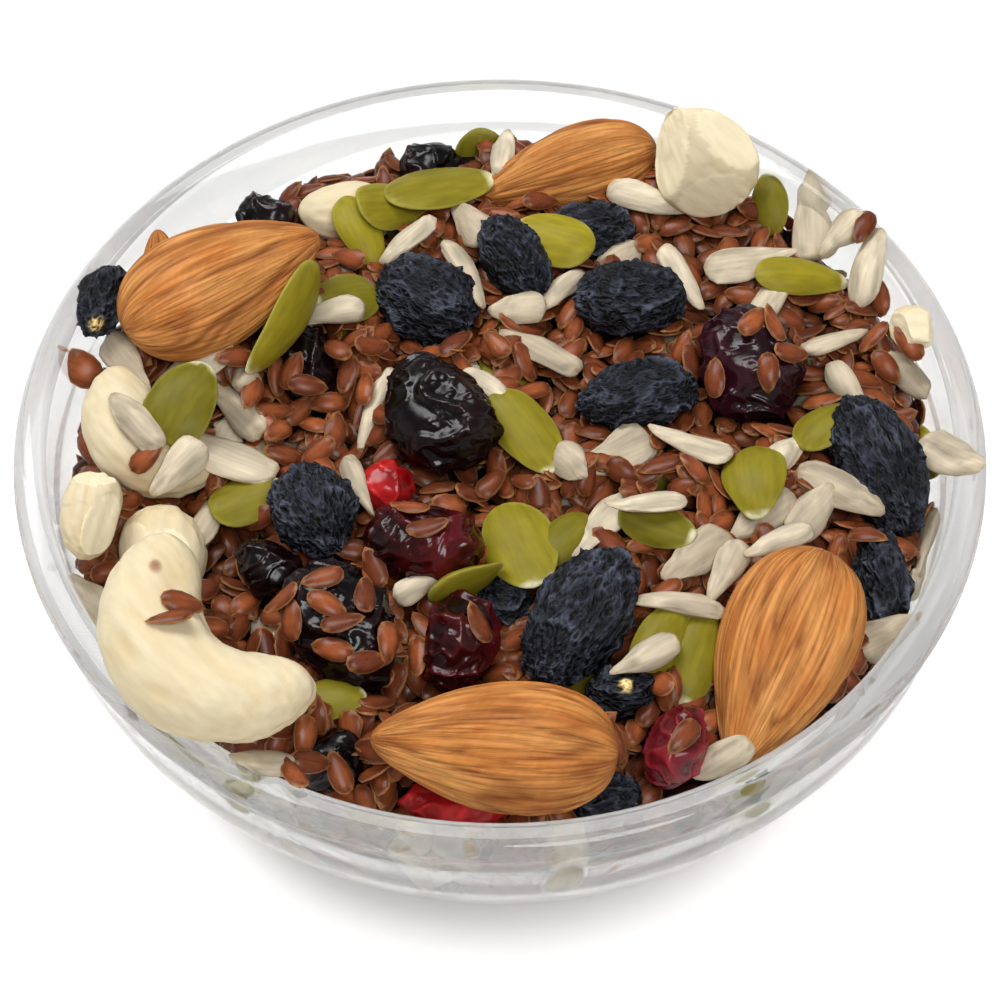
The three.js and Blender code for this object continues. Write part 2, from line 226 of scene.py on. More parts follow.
def noise_of(places):
    return np.array([noise.noise(place) for place in places.tolist()])


def noise_vectors(places):
    """Three noises for each place."""
    return np.stack([noise_of(places + axis) for axis in range(3)], axis=1)


def creases(places, width):
    """One on the lines where a noise passes zero, falling to none beside them."""
    return np.exp(-(noise_of(places) / width) ** 2)


def random_turn():
    return RANDOM.uniform(0, 2 * math.pi)


def normalized(vectors):
    return vectors / np.linalg.norm(vectors, axis=-1, keepdims=True)


# Meshes

def sphere_grid(sides, rings):
    """A unit sphere with its poles on X, as points and triangles."""
    fall = np.repeat(np.arange(1, rings) * math.pi / rings, sides)
    around = np.tile(np.arange(sides) * 2 * math.pi / sides, rings - 1)
    rows = np.stack([np.cos(fall), np.sin(fall) * np.cos(around), np.sin(fall) * np.sin(around)], axis=1)
    points = np.vstack([[[1, 0, 0]], rows, [[-1, 0, 0]]])
    last = len(points) - 1
    triangles = []
    for side in range(sides):
        beside = (side + 1) % sides
        triangles.append((0, 1 + side, 1 + beside))
        for start in range(1, 1 + (rings - 2) * sides, sides):
            below = start + sides
            triangles.append((start + side, below + side, below + beside))
            triangles.append((start + side, below + beside, start + beside))
        triangles.append((last, last - sides + beside, last - sides + side))
    return points, np.array(triangles)


def lathe(profile, segments):
    """A closed body turned from a profile that starts and ends on the axis, as points and triangles."""
    turn = np.arange(segments) * 2 * math.pi / segments
    inner = profile[1:-1]
    points = [[0, 0, profile[0][1]], [0, 0, profile[-1][1]]]
    for radius, height in inner:
        ring = np.stack([radius * np.cos(turn), radius * np.sin(turn), np.full(segments, height)], axis=1)
        points.extend(ring.tolist())
    triangles = []
    last = 2 + (len(inner) - 1) * segments
    for side in range(segments):
        beside = (side + 1) % segments
        triangles.append((0, 2 + beside, 2 + side))
        for start in range(2, last, segments):
            above = start + segments
            triangles.append((start + side, start + beside, above + beside))
            triangles.append((start + side, above + beside, above + side))
        triangles.append((1, last + side, last + beside))
    return np.array(points), np.array(triangles)


def neighbour_mean(values, triangles):
    """The mean of the values around each point of a closed mesh."""
    starts = triangles.ravel()
    ends = np.roll(triangles, -1, axis=1).ravel()
    total = np.bincount(starts, values[ends], len(values))
    return total / np.bincount(starts, minlength=len(values))


def vertex_normals(points, triangles):
    """The way out of a mesh at each point, by the area of the triangles there."""
    corners = points[triangles]
    faces = np.cross(corners[:, 1] - corners[:, 0], corners[:, 2] - corners[:, 0])
    normals = np.zeros_like(points)
    for corner in range(3):
        for axis in range(3):
            normals[:, axis] += np.bincount(triangles[:, corner], faces[:, axis], len(points))
    return normalized(normals)


def mesh_arrays(mesh):
    """Points and triangles of a mesh."""
    mesh.calc_loop_triangles()
    points = np.array([vertex.co for vertex in mesh.vertices])
    return points, np.array([triangle.vertices for triangle in mesh.loop_triangles])


def add_object(name, data):
    added = bpy.data.objects.new(name, data)
    bpy.context.collection.objects.link(added)
    return added


def make_piece(name, points, triangles, material, nodes, tint=None, grain=None):
    """A smooth mesh piece that stands for the named solids, with its points' colours and grain."""
    mesh = bpy.data.meshes.new(name)
    mesh.vertices.add(len(points))
    mesh.vertices.foreach_set("co", (points * MM).ravel())
    mesh.loops.add(triangles.size)
    mesh.loops.foreach_set("vertex_index", triangles.ravel())
    mesh.polygons.add(len(triangles))
    mesh.polygons.foreach_set("loop_start", np.arange(0, triangles.size, 3))
    mesh.update(calc_edges=True)
    mesh.shade_smooth()
    if tint is not None:
        colours = mesh.attributes.new("tint", "FLOAT_COLOR", "POINT")
        colours.data.foreach_set("color", np.hstack([tint, np.ones((len(tint), 1))]).ravel())
        places = mesh.attributes.new("grain", "FLOAT_VECTOR", "POINT")
        places.data.foreach_set("vector", grain.ravel())
    mesh.materials.append(material)
    piece = add_object(name, mesh)
    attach(piece, "root")
    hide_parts(*nodes)


# Materials

def feed(tree, node, inputs):
    """Gives a node's inputs their values, or links them to what other nodes put out."""
    for name, value in inputs.items():
        if isinstance(value, bpy.types.NodeSocket):
            tree.links.new(value, node.inputs[name])
        else:
            node.inputs[name].default_value = value


def add_node(tree, kind, inputs=None, **settings):
    node = tree.nodes.new(kind)
    for setting, value in settings.items():
        setattr(node, setting, value)
    feed(tree, node, inputs or {})
    return node


def new_material(name):
    """A material with its node tree and its shader."""
    material = bpy.data.materials.new(name)
    material.use_nodes = True
    return material, material.node_tree, material.node_tree.nodes["Principled BSDF"]


# Values that a soft noise and a noise of thin lines mostly take
SOFT_SPREAD = (0.25, 0.75)
LINE_SPREAD = (0.45, 1.25)
GRAIN_RELIEF = 0.2


def range_of(tree, source, low, high, within=SOFT_SPREAD):
    """A noise stretched to run from a low to a high value."""
    limits = {"From Min": within[0], "From Max": within[1], "To Min": low, "To Max": high}
    return add_node(tree, "ShaderNodeMapRange", {**limits, "Value": source}).outputs["Result"]


def add_relief(tree, height, strength, depth, invert=False):
    """A surface bent by a pattern whose depth is in millimetres."""
    inputs = {"Strength": strength, "Distance": depth * MM, "Height": height}
    return add_node(tree, "ShaderNodeBump", inputs, invert=invert).outputs["Normal"]


def food_material(name, grain, tone, rough, bump, gloss, lines=False):
    """Colour from the points' tint, with a fine grain or thin lines that also vary the gloss."""
    material, tree, shader = new_material(name)
    tint = add_node(tree, "ShaderNodeAttribute", attribute_name="tint").outputs["Color"]
    place = add_node(tree, "ShaderNodeAttribute", attribute_name="grain").outputs["Vector"]
    along, across = grain
    stretch = add_node(tree, "ShaderNodeMapping", {"Scale": (along, across, across), "Vector": place})
    inputs = {"Scale": 1, "Detail": 3, "Vector": stretch.outputs["Vector"]}
    noise_node = add_node(tree, "ShaderNodeTexNoise", inputs)
    if lines:
        noise_node.noise_type = "RIDGED_MULTIFRACTAL"
        noise_node.inputs["Offset"].default_value = 1
    within = LINE_SPREAD if lines else SOFT_SPREAD
    pattern = noise_node.outputs["Fac"]
    mixed = {"Factor": 1, "A": tint, "B": range_of(tree, pattern, *tone, within)}
    shade = add_node(tree, "ShaderNodeMix", mixed, data_type="RGBA", blend_type="MULTIPLY")
    feed(tree, shader, {
        "Base Color": shade.outputs["Result"],
        "Roughness": range_of(tree, pattern, *rough, within),
        "Specular IOR Level": gloss,
        "Normal": add_relief(tree, pattern, bump, GRAIN_RELIEF, invert=tone[0] > tone[1]),
    })
    return material


GLASS_ROUGHNESS = (0, 0.015)
WAVE_STRENGTH = 0.05
WAVE_RELIEF = 0.3


def glass_material():
    """Clear glass with the faintest waves, whose alpha lets a part of the light go straight through."""
    material, tree, shader = new_material("clear_glass")
    place = add_node(tree, "ShaderNodeTexCoord").outputs["Object"]
    waves = add_node(tree, "ShaderNodeTexNoise", {"Scale": 60, "Detail": 1, "Vector": place}).outputs["Fac"]
    feed(tree, shader, {
        "Base Color": (0.975, 0.99, 0.98, 1),
        "Transmission Weight": 0.97,
        "Alpha": 0.66,
        "IOR": 1.45,
        "Roughness": range_of(tree, waves, *GLASS_ROUGHNESS),
        "Normal": add_relief(tree, waves, WAVE_STRENGTH, WAVE_RELIEF),
    })
    return material


GLASS = glass_material()
ALMOND_SKIN = food_material(
    "almond_skin", grain=(0.1, 1.5), tone=(1.1, 0.8), rough=(0.5, 0.8), bump=0.5, lines=True, gloss=0.25,
)
CASHEW_FLESH = food_material(
    "cashew_flesh", grain=(0.3, 1.2), tone=(0.92, 1.04), rough=(0.45, 0.65), bump=0.25, gloss=0.3,
)
RAISIN_SKIN = food_material(
    "raisin_skin", grain=(0.9, 2), tone=(0.1, 2.1), rough=(0.42, 0.6), bump=0.9, lines=True, gloss=0.2,
)
CRANBERRY_SKIN = food_material(
    "cranberry_skin", grain=(0.6, 0.9), tone=(0.7, 1.2), rough=(0.12, 0.3), bump=0.2, gloss=0.32,
)
FLAX_SKIN = food_material(
    "flax_skin", grain=(0.8, 2), tone=(0.78, 1.14), rough=(0.22, 0.36), bump=0.1, gloss=0.22,
)
SUNFLOWER_FLESH = food_material(
    "sunflower_flesh", grain=(0.22, 2.4), tone=(0.78, 1.08), rough=(0.5, 0.7), bump=0.35, gloss=0.3,
)
PUMPKIN_SKIN = food_material(
    "pumpkin_skin", grain=(0.3, 1.6), tone=(0.8, 1.12), rough=(0.35, 0.5), bump=0.15, gloss=0.14,
)
HEAP_CORE = food_material(
    "heap_core", grain=(0.5, 0.5), tone=(0.6, 1.3), rough=(0.7, 0.9), bump=0.5, gloss=0.1,
)


# Bowl

def spline(points, steps):
    """A smooth curve through the points, by the rule of Catmull and Rom."""
    points = np.array(points, float)
    ends = np.vstack([points[:1], points, points[-1:]])
    curve = []
    for a, b, c, d in zip(ends, ends[1:], ends[2:], ends[3:]):
        for t in np.arange(steps) / steps:
            square = (2 * a - 5 * b + 4 * c - d) * t**2
            cube = (3 * b - a - 3 * c + d) * t**3
            curve.append(0.5 * (2 * b + (c - a) * t + square + cube))
    return np.array(curve + [points[-1]])


def bezier(handles, steps):
    """A curve from the first to the last of four handles."""
    a, b, c, d = np.array(handles, float)
    t = np.linspace(0, 1, steps + 1)[:, None]
    return a * (1 - t) ** 3 + 3 * b * t * (1 - t) ** 2 + 3 * c * t**2 * (1 - t) + d * t**3


def rim_arc(middle, radius, start, end, steps):
    """An arc of a round edge that touches the rim's top."""
    turn = np.linspace(start, end, steps + 1)
    return np.stack([middle + radius * np.cos(turn), BOWL_HEIGHT - radius + radius * np.sin(turn)], axis=1)


INSIDE_WALL = spline(INSIDE_POINTS, CURVE_STEPS)[::-1]


def make_bowl():
    """The glass, turned from the profile of foot, outside, collar, rim and inside."""
    bead_middle = RIM_RADIUS - RIM_BEAD_RADIUS
    profile = np.vstack([
        [[0, FOOT_RECESS], [FOOT_INNER_RADIUS, FOOT_RECESS]],
        [[FOOT_INNER_RADIUS + FOOT_BEVEL, 0], [FOOT_RADIUS, 0]],
        bezier(OUTSIDE_HANDLES, 2 * CURVE_STEPS),
        [COLLAR_FOOT, COLLAR_GROOVE],
        rim_arc(bead_middle, RIM_BEAD_RADIUS, RIM_BEAD_START, math.pi / 2, CURVE_STEPS),
        rim_arc(RIM_INNER_RADIUS + RIM_INNER_ROUNDING, RIM_INNER_ROUNDING, math.pi / 2, math.pi, CURVE_STEPS),
        INSIDE_WALL[::-1],
    ])
    points, triangles = lathe(profile, BOWL_SEGMENTS)
    make_piece("glass_bowl", points, triangles, GLASS, ["bowl"])


# Nuts and fruits over their solids

class Body:
    """A dense form in a frame of its own, with X along its length."""

    def __init__(self, centre, axes, half, local, triangles, grain=None):
        self.centre = centre
        self.axes = axes
        self.half = half
        self.local = local
        self.triangles = triangles
        self.grain = local if grain is None else grain

    def raised(self, lift):
        """The points in the row's frame, after each is moved out by its lift."""
        moved = self.local + vertex_normals(self.local, self.triangles) * lift[:, None]
        return self.centre + moved @ self.axes


SAME_POINT_DIGITS = 3


def node_arrays(node):
    """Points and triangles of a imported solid."""
    points, triangles = mesh_arrays(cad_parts[node].data)
    return points / MM, triangles


def principal_frame(points):
    """Middle, axes and half sizes of a body, its narrow end on +X and +Z up."""
    spread = np.unique(np.round(points, SAME_POINT_DIGITS), axis=0)
    mean = spread.mean(axis=0)
    axes = np.linalg.eigh(np.cov((spread - mean).T))[1].T[::-1]
    local = (spread - mean) @ axes.T
    side = np.hypot(local[:, 1], local[:, 2])
    if side[local[:, 0] > 0].mean() > side[local[:, 0] < 0].mean():
        axes[0] = -axes[0]
    if axes[2][2] < 0:
        axes[2] = -axes[2]
    axes[1] = np.cross(axes[2], axes[0])
    local = (spread - mean) @ axes.T
    middle = (local.min(axis=0) + local.max(axis=0)) / 2
    half = (local.max(axis=0) - local.min(axis=0)) / 2
    return mean + middle @ axes, axes, half


def dense_body(node, sides, rings, rounds):
    """A finer and smoother form of a rounded solid, found by rays from its middle."""
    points, triangles = node_arrays(node)
    centre, axes, half = principal_frame(points)
    tree = BVHTree.FromPolygons(points.tolist(), triangles.tolist())
    grid, faces = sphere_grid(sides, rings)
    ways = grid * half
    plain = np.linalg.norm(ways, axis=1)
    ways = normalized(ways)
    hits = [tree.ray_cast(centre.tolist(), way)[3] for way in (ways @ axes).tolist()]
    share = np.array([1 if hit is None else hit / size for hit, size in zip(hits, plain)])
    for _ in range(rounds):
        share = neighbour_mean(share, faces)
    return Body(centre, axes, half, ways * (plain * share)[:, None], faces)


def subdivided_body(node, levels):
    """A finer form of a bent solid, kept to the solid's size."""
    points, triangles = node_arrays(node)
    centre, axes, half = principal_frame(points)
    mesh = bpy.data.meshes.new(node + "_cage")
    mesh.from_pydata(points.tolist(), [], triangles.tolist())
    cage = add_object(node + "_cage", mesh)
    weld = cage.modifiers.new("weld", "WELD")
    weld.merge_threshold = 0.001
    smooth = cage.modifiers.new("smooth", "SUBSURF")
    smooth.levels = levels
    fine, faces = mesh_arrays(cage.evaluated_get(bpy.context.evaluated_depsgraph_get()).to_mesh())
    local = (fine - centre) @ axes.T
    bpy.data.objects.remove(cage)
    bpy.data.meshes.remove(mesh)
    local = local - (local.min(axis=0) + local.max(axis=0)) / 2
    local = local * (half / local.max(axis=0))
    return Body(centre, axes, half, local, faces)


ALMOND_GRID = (100, 70)
ALMOND_TAPER = 0.19
ALMOND_BLUNTNESS = 0.02
ALMOND_POINT = 0.18
ALMOND_POINT_POWER = 6
ALMOND_VEIN_GATHERING = 0.85
# Patterns of the skin: scales along and twice across, widths, and depths in millimetres
ALMOND_BEND_SCALE = [0.1, 0.2, 0.2]
ALMOND_BEND = [0, 0.5, 0.5]
ALMOND_VEIN_SCALE = [0.05, 0.42, 0.42]
ALMOND_VEIN_WIDTH = 0.09
ALMOND_VEIN_DEPTH = 0.17
ALMOND_FINE_SCALE = [0.09, 0.9, 0.9]
ALMOND_FINE_WIDTH = 0.1
ALMOND_FINE_DEPTH = 0.07
ALMOND_SWELL_SCALE = [0.08, 0.3, 0.3]
ALMOND_SWELL = 0.16
ALMOND_PATCH_SCALE = [0.15, 0.4, 0.4]
ALMOND_POWDER_SCALE = 2.4
ALMOND_TIPS = (0.7, 1)
ALMOND_LIGHT = linear(214, 150, 82)
ALMOND_MID = linear(190, 114, 48)
ALMOND_DARK = linear(128, 64, 22)


def almond_body(node):
    """A smooth almond of the solid's size: a drop with a broad blunt end and a short point."""
    points = node_arrays(node)[0]
    centre, axes, half = principal_frame(points)
    grid, faces = sphere_grid(*ALMOND_GRID)
    x, y, z = grid.T
    spread = np.maximum(np.hypot(y, z), NEARLY_NONE)
    narrow = (1 - ALMOND_TAPER * x) * spread ** -ALMOND_BLUNTNESS
    reach = x + ALMOND_POINT * np.maximum(x, 0) ** ALMOND_POINT_POWER
    local = np.stack([reach, y * narrow, z * narrow], axis=1)
    local = local - (local.min(axis=0) + local.max(axis=0)) / 2
    gathered = spread ** -ALMOND_VEIN_GATHERING
    grain = np.stack([x, y * gathered, z * gathered], axis=1) * half
    return Body(centre, axes, half, local * half / local.max(axis=0), faces, grain)


def almond_looks(body, shift):
    """Fine uneven veins along it that fade towards the ends, and a powdery skin."""
    length = body.local[:, 0] / body.half[0]
    bend = noise_of(body.grain * ALMOND_BEND_SCALE + shift)[:, None] * ALMOND_BEND
    veins = creases(body.grain * ALMOND_VEIN_SCALE + bend + shift, ALMOND_VEIN_WIDTH)
    fine_veins = creases(body.grain * ALMOND_FINE_SCALE + bend - shift, ALMOND_FINE_WIDTH)
    swell = noise_of(body.local * ALMOND_SWELL_SCALE + 2 * shift)
    patches = noise_of(body.grain * ALMOND_PATCH_SCALE - 2 * shift)
    powder = noise_of(body.local * ALMOND_POWDER_SCALE + shift)
    tips = smoothstep(np.abs(length), *ALMOND_TIPS)
    lift = ALMOND_SWELL * swell - (ALMOND_VEIN_DEPTH * veins + ALMOND_FINE_DEPTH * fine_veins) * (1 - tips)
    colour = blend(ALMOND_MID, ALMOND_LIGHT, 0.5 + 0.7 * patches + 0.35 * powder)
    dark = (0.6 * veins + 0.3 * fine_veins) * (1 - 0.5 * tips) + 0.3 * tips
    return lift, blend(colour, ALMOND_DARK, dark)


BENT_NUTS = ("cashew_2", "cashew_3", "cashew_6")
BENT_NUT_LEVELS = 3
ROUND_NUT_GRID = (72, 54)
ROUND_NUT_SMOOTHING = 8
# How uneven the broken nuts are
BROKEN_NUTS = {"cashew_1": 0.3, "cashew_2": 0.2, "cashew_4": 0.25, "nut_piece_1": 0.1}
# Flat breaks: the way that each faces, and the share of the nut's reach that is left
BREAKS = {
    "cashew_1": [((0.2, -0.4, 0.9), 0.8), ((-0.7, -0.3, 0.65), 0.72)],
    "cashew_2": [((0.7, -0.5, 0.5), 0.72), ((0.1, 0.6, 0.8), 0.75)],
    "cashew_4": [((0.35, -0.5, 0.79), 0.78), ((-0.8, -0.45, 0.4), 0.55), ((0.1, -1, 0.1), 0.75)],
    "nut_piece_1": [
        ((0.3, -0.45, 0.84), 0.6), ((-0.8, -0.5, 0.3), 0.55), ((0.9, -0.2, 0.3), 0.7),
        ((0.1, -1, -0.1), 0.75),
    ],
}
CASHEW_LIGHT = linear(224, 209, 174)
# Deeper yellow, partly the nut's own tone and partly painted shade in its hollows
CASHEW_DEEP_TONE_AND_SHADE = linear(210, 178, 118)
CASHEW_INSIDE = linear(250, 236, 200)
# Patterns of the flesh: scales, widths and heights in millimetres, then the flakes and the flat breaks
CASHEW_RIDGE_SCALE = [0.12, 0.45, 0.45]
CASHEW_RIDGE = 0.16
CASHEW_SWELL_SCALE = 0.18
CASHEW_SWELL = 0.3
CASHEW_SEAM_WAVE = 0.6
CASHEW_SEAM_WIDTH = 0.35
CASHEW_SEAM_DEPTH = 0.12
CASHEW_LINE_SCALE = [0.15, 1.3, 1.3]
CASHEW_LINE = 0.08
FLAKE_SCALE = [0.1, 0.15, 0.15]
FLAKE_STEPS = 3
FLAKE_HEIGHT = 1.4
BREAK_SOFTENING = 2
BREAK_SMOOTHNESS = 0.4
BREAK_PALENESS = 0.8


def break_flat(body, breaks):
    """Cuts flat faces with slightly worn edges on a nut piece, and tells which points lie on them."""
    cut = np.zeros(len(body.local))
    for way, share in breaks:
        way = normalized(body.axes @ way)
        reach = body.local @ way
        beyond = np.maximum(reach - share * reach.max(), 0)
        body.local = body.local - beyond[:, None] * way
        cut = np.maximum(cut, beyond > 0)
    for _ in range(BREAK_SOFTENING):
        body.local = np.stack([neighbour_mean(column, body.triangles) for column in body.local.T], axis=1)
    return cut


def cashew_looks(body, shift, broken=0):
    """Faint ridges along it and a seam round its middle; a broken piece is uneven."""
    ridges = noise_of((body.local * CASHEW_RIDGE_SCALE + shift) * 2)
    swell = noise_of(body.local * CASHEW_SWELL_SCALE + shift)
    seam = np.exp(-((body.local[:, 2] - CASHEW_SEAM_WAVE * swell) / CASHEW_SEAM_WIDTH) ** 2)
    lines = noise_of(body.local * CASHEW_LINE_SCALE - shift)
    flakes = np.round(FLAKE_STEPS * noise_of(body.local * FLAKE_SCALE - shift)) / FLAKE_STEPS
    lift = CASHEW_RIDGE * ridges + CASHEW_LINE * lines + CASHEW_SWELL * swell
    lift = lift - CASHEW_SEAM_DEPTH * seam * (1 - broken) + broken * FLAKE_HEIGHT * flakes
    # Deeper yellow where the surface sinks, in the seam and between ridges and swells: partly the nut's own
    # tone, partly painted shade
    deep_and_shade = 0.12 - 0.25 * ridges - 0.3 * swell + 0.2 * seam - 0.15 * lines
    return lift, blend(CASHEW_LIGHT, CASHEW_DEEP_TONE_AND_SHADE, deep_and_shade)


RAISIN_GRID = (96, 66)
RAISIN_SMOOTHING = 12
RAISIN_STRETCH = [0.5, 1, 1]
RAISIN_WARP_SCALE = 0.3
# Wrinkles of three sizes: how far they bend, their scale, width and height
RAISIN_RIDGES = (1.2, 0.36, 0.1, 0.45)
RAISIN_WRINKLES = (0.7, 0.75, 0.12, 0.32)
RAISIN_FINE = (0.4, 1.4, 0.16, 0.1)
# Slow lumps of its form, the depth of what lies between the wrinkles, and the scale of the bloom
RAISIN_LUMP_SCALE = 0.22
RAISIN_LUMP = 0.4
RAISIN_SINK = 0.3
RAISIN_BLOOM_SCALE = 0.25
# Pale tops of the wrinkles, partly bloom and partly painted sheen, and near-black folds as painted shade
RAISIN_BLOOM_AND_SHEEN = linear(110, 117, 136)
RAISIN_FOLD_SHADE = linear(5, 5, 8)
RAISIN_SCAR = linear(225, 198, 132)
SKIN_SCRAP = linear(150, 84, 58)


def raisin_looks(body, shift):
    """Thin raised wrinkles of three sizes, mostly along it, pale on what stands up, partly bloom and partly
    painted sheen, and near black in the folds as painted shade.
    """
    stretched = body.local * RAISIN_STRETCH
    warp = noise_vectors(stretched * RAISIN_WARP_SCALE + shift)

    def wrinkled(bend, scale, width, height, start):
        """Lines of one size and how high they stand."""
        lines = creases((stretched + bend * warp) * scale + start, width)
        return lines, height * lines

    ridges, high = wrinkled(*RAISIN_RIDGES, shift)
    wrinkles, middle = wrinkled(*RAISIN_WRINKLES, -shift)
    fine, low = wrinkled(*RAISIN_FINE, 2 * shift)
    lumps = noise_of(stretched * RAISIN_LUMP_SCALE + shift)
    lift = RAISIN_LUMP * lumps + high + middle + low - RAISIN_SINK
    bloom = 0.6 + 0.6 * noise_of(body.local * RAISIN_BLOOM_SCALE - shift)
    bloom_and_sheen = 0.04 + 0.2 * ridges + 0.15 * wrinkles + 0.05 * fine
    return lift, blend(RAISIN_FOLD_SHADE, RAISIN_BLOOM_AND_SHEEN, bloom_and_sheen * bloom)


# Small marks that the photo shows: pixel, width in pixels and colour of stem scars and a scrap of skin
MARK_HEIGHT = 0.2
MARK_STRENGTH = 0.9
MARK_SHARPNESS = 4
MARKS = {
    "raisin_1": ((626, 685), 7, RAISIN_SCAR),
    "raisin_4": ((96, 324), 7, RAISIN_SCAR),
    "cashew_6": ((155, 566), 6, SKIN_SCRAP),
}


def add_mark(body, looks, pixel, width, colour):
    """A small raised mark where the photo shows it."""
    lift, tint = looks
    points = body.centre + body.local @ body.axes
    facing = vertex_normals(body.local, body.triangles) @ body.axes @ CAMERA_BACK > 0
    apart = np.linalg.norm(pixels_of(points) - pixel, axis=1)
    mark = facing * np.exp(-(apart / width) ** MARK_SHARPNESS)
    return lift * (1 - mark) + MARK_HEIGHT * mark, blend(tint, colour, MARK_STRENGTH * mark)


CRANBERRY_GRID = (84, 60)
CRANBERRY_SMOOTHING = 8
# The half thickness that has wrinkles of full depth, and the scales, widths and heights of folds and wrinkles
CRANBERRY_FULL_DEPTH = 4
CRANBERRY_WARP_SCALE = 0.2
CRANBERRY_WARP = 1.5
CRANBERRY_FOLD_SCALE = 0.17
CRANBERRY_FOLD_HEIGHT = 0.6
CRANBERRY_WRINKLE_SCALE = 0.45
CRANBERRY_WRINKLE_HEIGHT = 0.35
CRANBERRY_LINE_WIDTH = 0.11
CRANBERRY_SWELL_SCALE = 0.16
CRANBERRY_SWELL = 0.7
CRANBERRY_SINK = 0.3
# Colours of the berries from their hollows to their folds: the dark end is painted shade, the light end
# partly the berry's colour and partly painted light through the thin skin
CRANBERRY_BLACK = (linear(3, 2, 3), linear(28, 8, 13))
CRANBERRY_DARK_RED = (linear(12, 2, 4), linear(84, 13, 18))
CRANBERRY_PURPLE = (linear(14, 4, 8), linear(54, 17, 29))
CRANBERRY_WINE = (linear(70, 6, 12), linear(164, 48, 58))
CRANBERRY_RED = (linear(124, 9, 14), linear(214, 44, 46))
CRANBERRY_COLOURS = {
    1: CRANBERRY_RED, 2: CRANBERRY_RED, 9: CRANBERRY_DARK_RED, 11: CRANBERRY_DARK_RED, 12: CRANBERRY_PURPLE,
    13: CRANBERRY_WINE,
}


def cranberry_looks(body, shift, colours=CRANBERRY_BLACK):
    """Sharp folds and smaller wrinkles between smooth hollows of a thin glossy skin, darker in the hollows as
    painted shade and lighter on the folds.
    """
    warp = noise_vectors(body.local * CRANBERRY_WARP_SCALE + shift)
    folds = creases((body.local + CRANBERRY_WARP * warp) * CRANBERRY_FOLD_SCALE + shift, CRANBERRY_LINE_WIDTH)
    wrinkles = creases((body.local + warp) * CRANBERRY_WRINKLE_SCALE - shift, CRANBERRY_LINE_WIDTH)
    swell = noise_of(body.local * CRANBERRY_SWELL_SCALE - shift)
    relief = CRANBERRY_SWELL * swell + CRANBERRY_FOLD_HEIGHT * folds + CRANBERRY_WRINKLE_HEIGHT * wrinkles
    lift = body.half.min() / CRANBERRY_FULL_DEPTH * (relief - CRANBERRY_SINK)
    return lift, blend(*colours, 0.2 + 0.5 * folds + 0.3 * wrinkles + 0.5 * swell)


def make_almond(node, shift):
    body = almond_body(node)
    return body, almond_looks(body, shift), ALMOND_SKIN, "almond"


def make_cashew(node, shift):
    """A whole cashew, or one with flat breaks that are paler and smoother than the rest."""
    if node in BENT_NUTS:
        body = subdivided_body(node, BENT_NUT_LEVELS)
    else:
        body = dense_body(node, *ROUND_NUT_GRID, ROUND_NUT_SMOOTHING)
    lift, tint = cashew_looks(body, shift, BROKEN_NUTS.get(node, 0))
    if node in BREAKS:
        cut = break_flat(body, BREAKS[node])
        lift = lift * (1 - BREAK_SMOOTHNESS * cut)
        tint = blend(tint, CASHEW_INSIDE, BREAK_PALENESS * cut)
    return body, (lift, tint), CASHEW_FLESH, "cashew"


def make_raisin(node, shift):
    body = dense_body(node, *RAISIN_GRID, RAISIN_SMOOTHING)
    return body, raisin_looks(body, shift), RAISIN_SKIN, "raisin"


def make_cranberry(node, shift):
    body = dense_body(node, *CRANBERRY_GRID, CRANBERRY_SMOOTHING)
    colours = CRANBERRY_COLOURS.get(int(node.rsplit("_", 1)[1]), CRANBERRY_BLACK)
    return body, cranberry_looks(body, shift, colours), CRANBERRY_SKIN, "cranberry"


NUT_MAKERS = {
    "almond": make_almond, "cashew": make_cashew, "nut_piece": make_cashew, "raisin": make_raisin,
    "cranberry": make_cranberry,
}
NUT_SHIFT = 3.7


def make_nuts_and_fruits():
    """Every nut and fruit as a piece of its own; gives back all their points."""
    made = []
    for number, node in enumerate(sorted(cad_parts)):
        kind = node.rsplit("_", 1)[0]
        if kind not in NUT_MAKERS:
            continue
        shift = NUT_SHIFT * number
        body, looks, material, slot = NUT_MAKERS[kind](node, shift)
        if node in MARKS:
            looks = add_mark(body, looks, *MARKS[node])
        lift, tint = looks
        points = body.raised(lift)
        make_piece(node + "_detail", points, body.triangles, material, [node], tint, body.grain + shift)
        made.append(points)
    return np.vstack(made)


# Heap of seeds

def heap_level(x, y):
    """Height of the heap's core, a low dome that leans to one side."""
    dome = HEAP_CROWN_RISE * (1 - (x**2 + y**2) / RIM_INNER_RADIUS**2)
    lean = HEAP_LEAN * (x * math.cos(HEAP_LEAN_TOWARDS) + y * math.sin(HEAP_LEAN_TOWARDS))
    return HEAP_WALL_LEVEL + dome + lean


def wall_radius(height):
    """How far the glass is from the axis at a height."""
    return np.interp(height, INSIDE_WALL[:, 1], INSIDE_WALL[:, 0])


# Painted shade of the core: near black on top, where it shows between the seeds, and dark brown on the sides
# behind the seeds at the glass
CORE_TOP_PAINTED_SHADE = (linear(5, 3, 2), linear(26, 14, 10))
CORE_SIDE_BROWN_AND_SHADE = (linear(70, 44, 32), linear(128, 88, 66))
CORE_TONE = 0.4


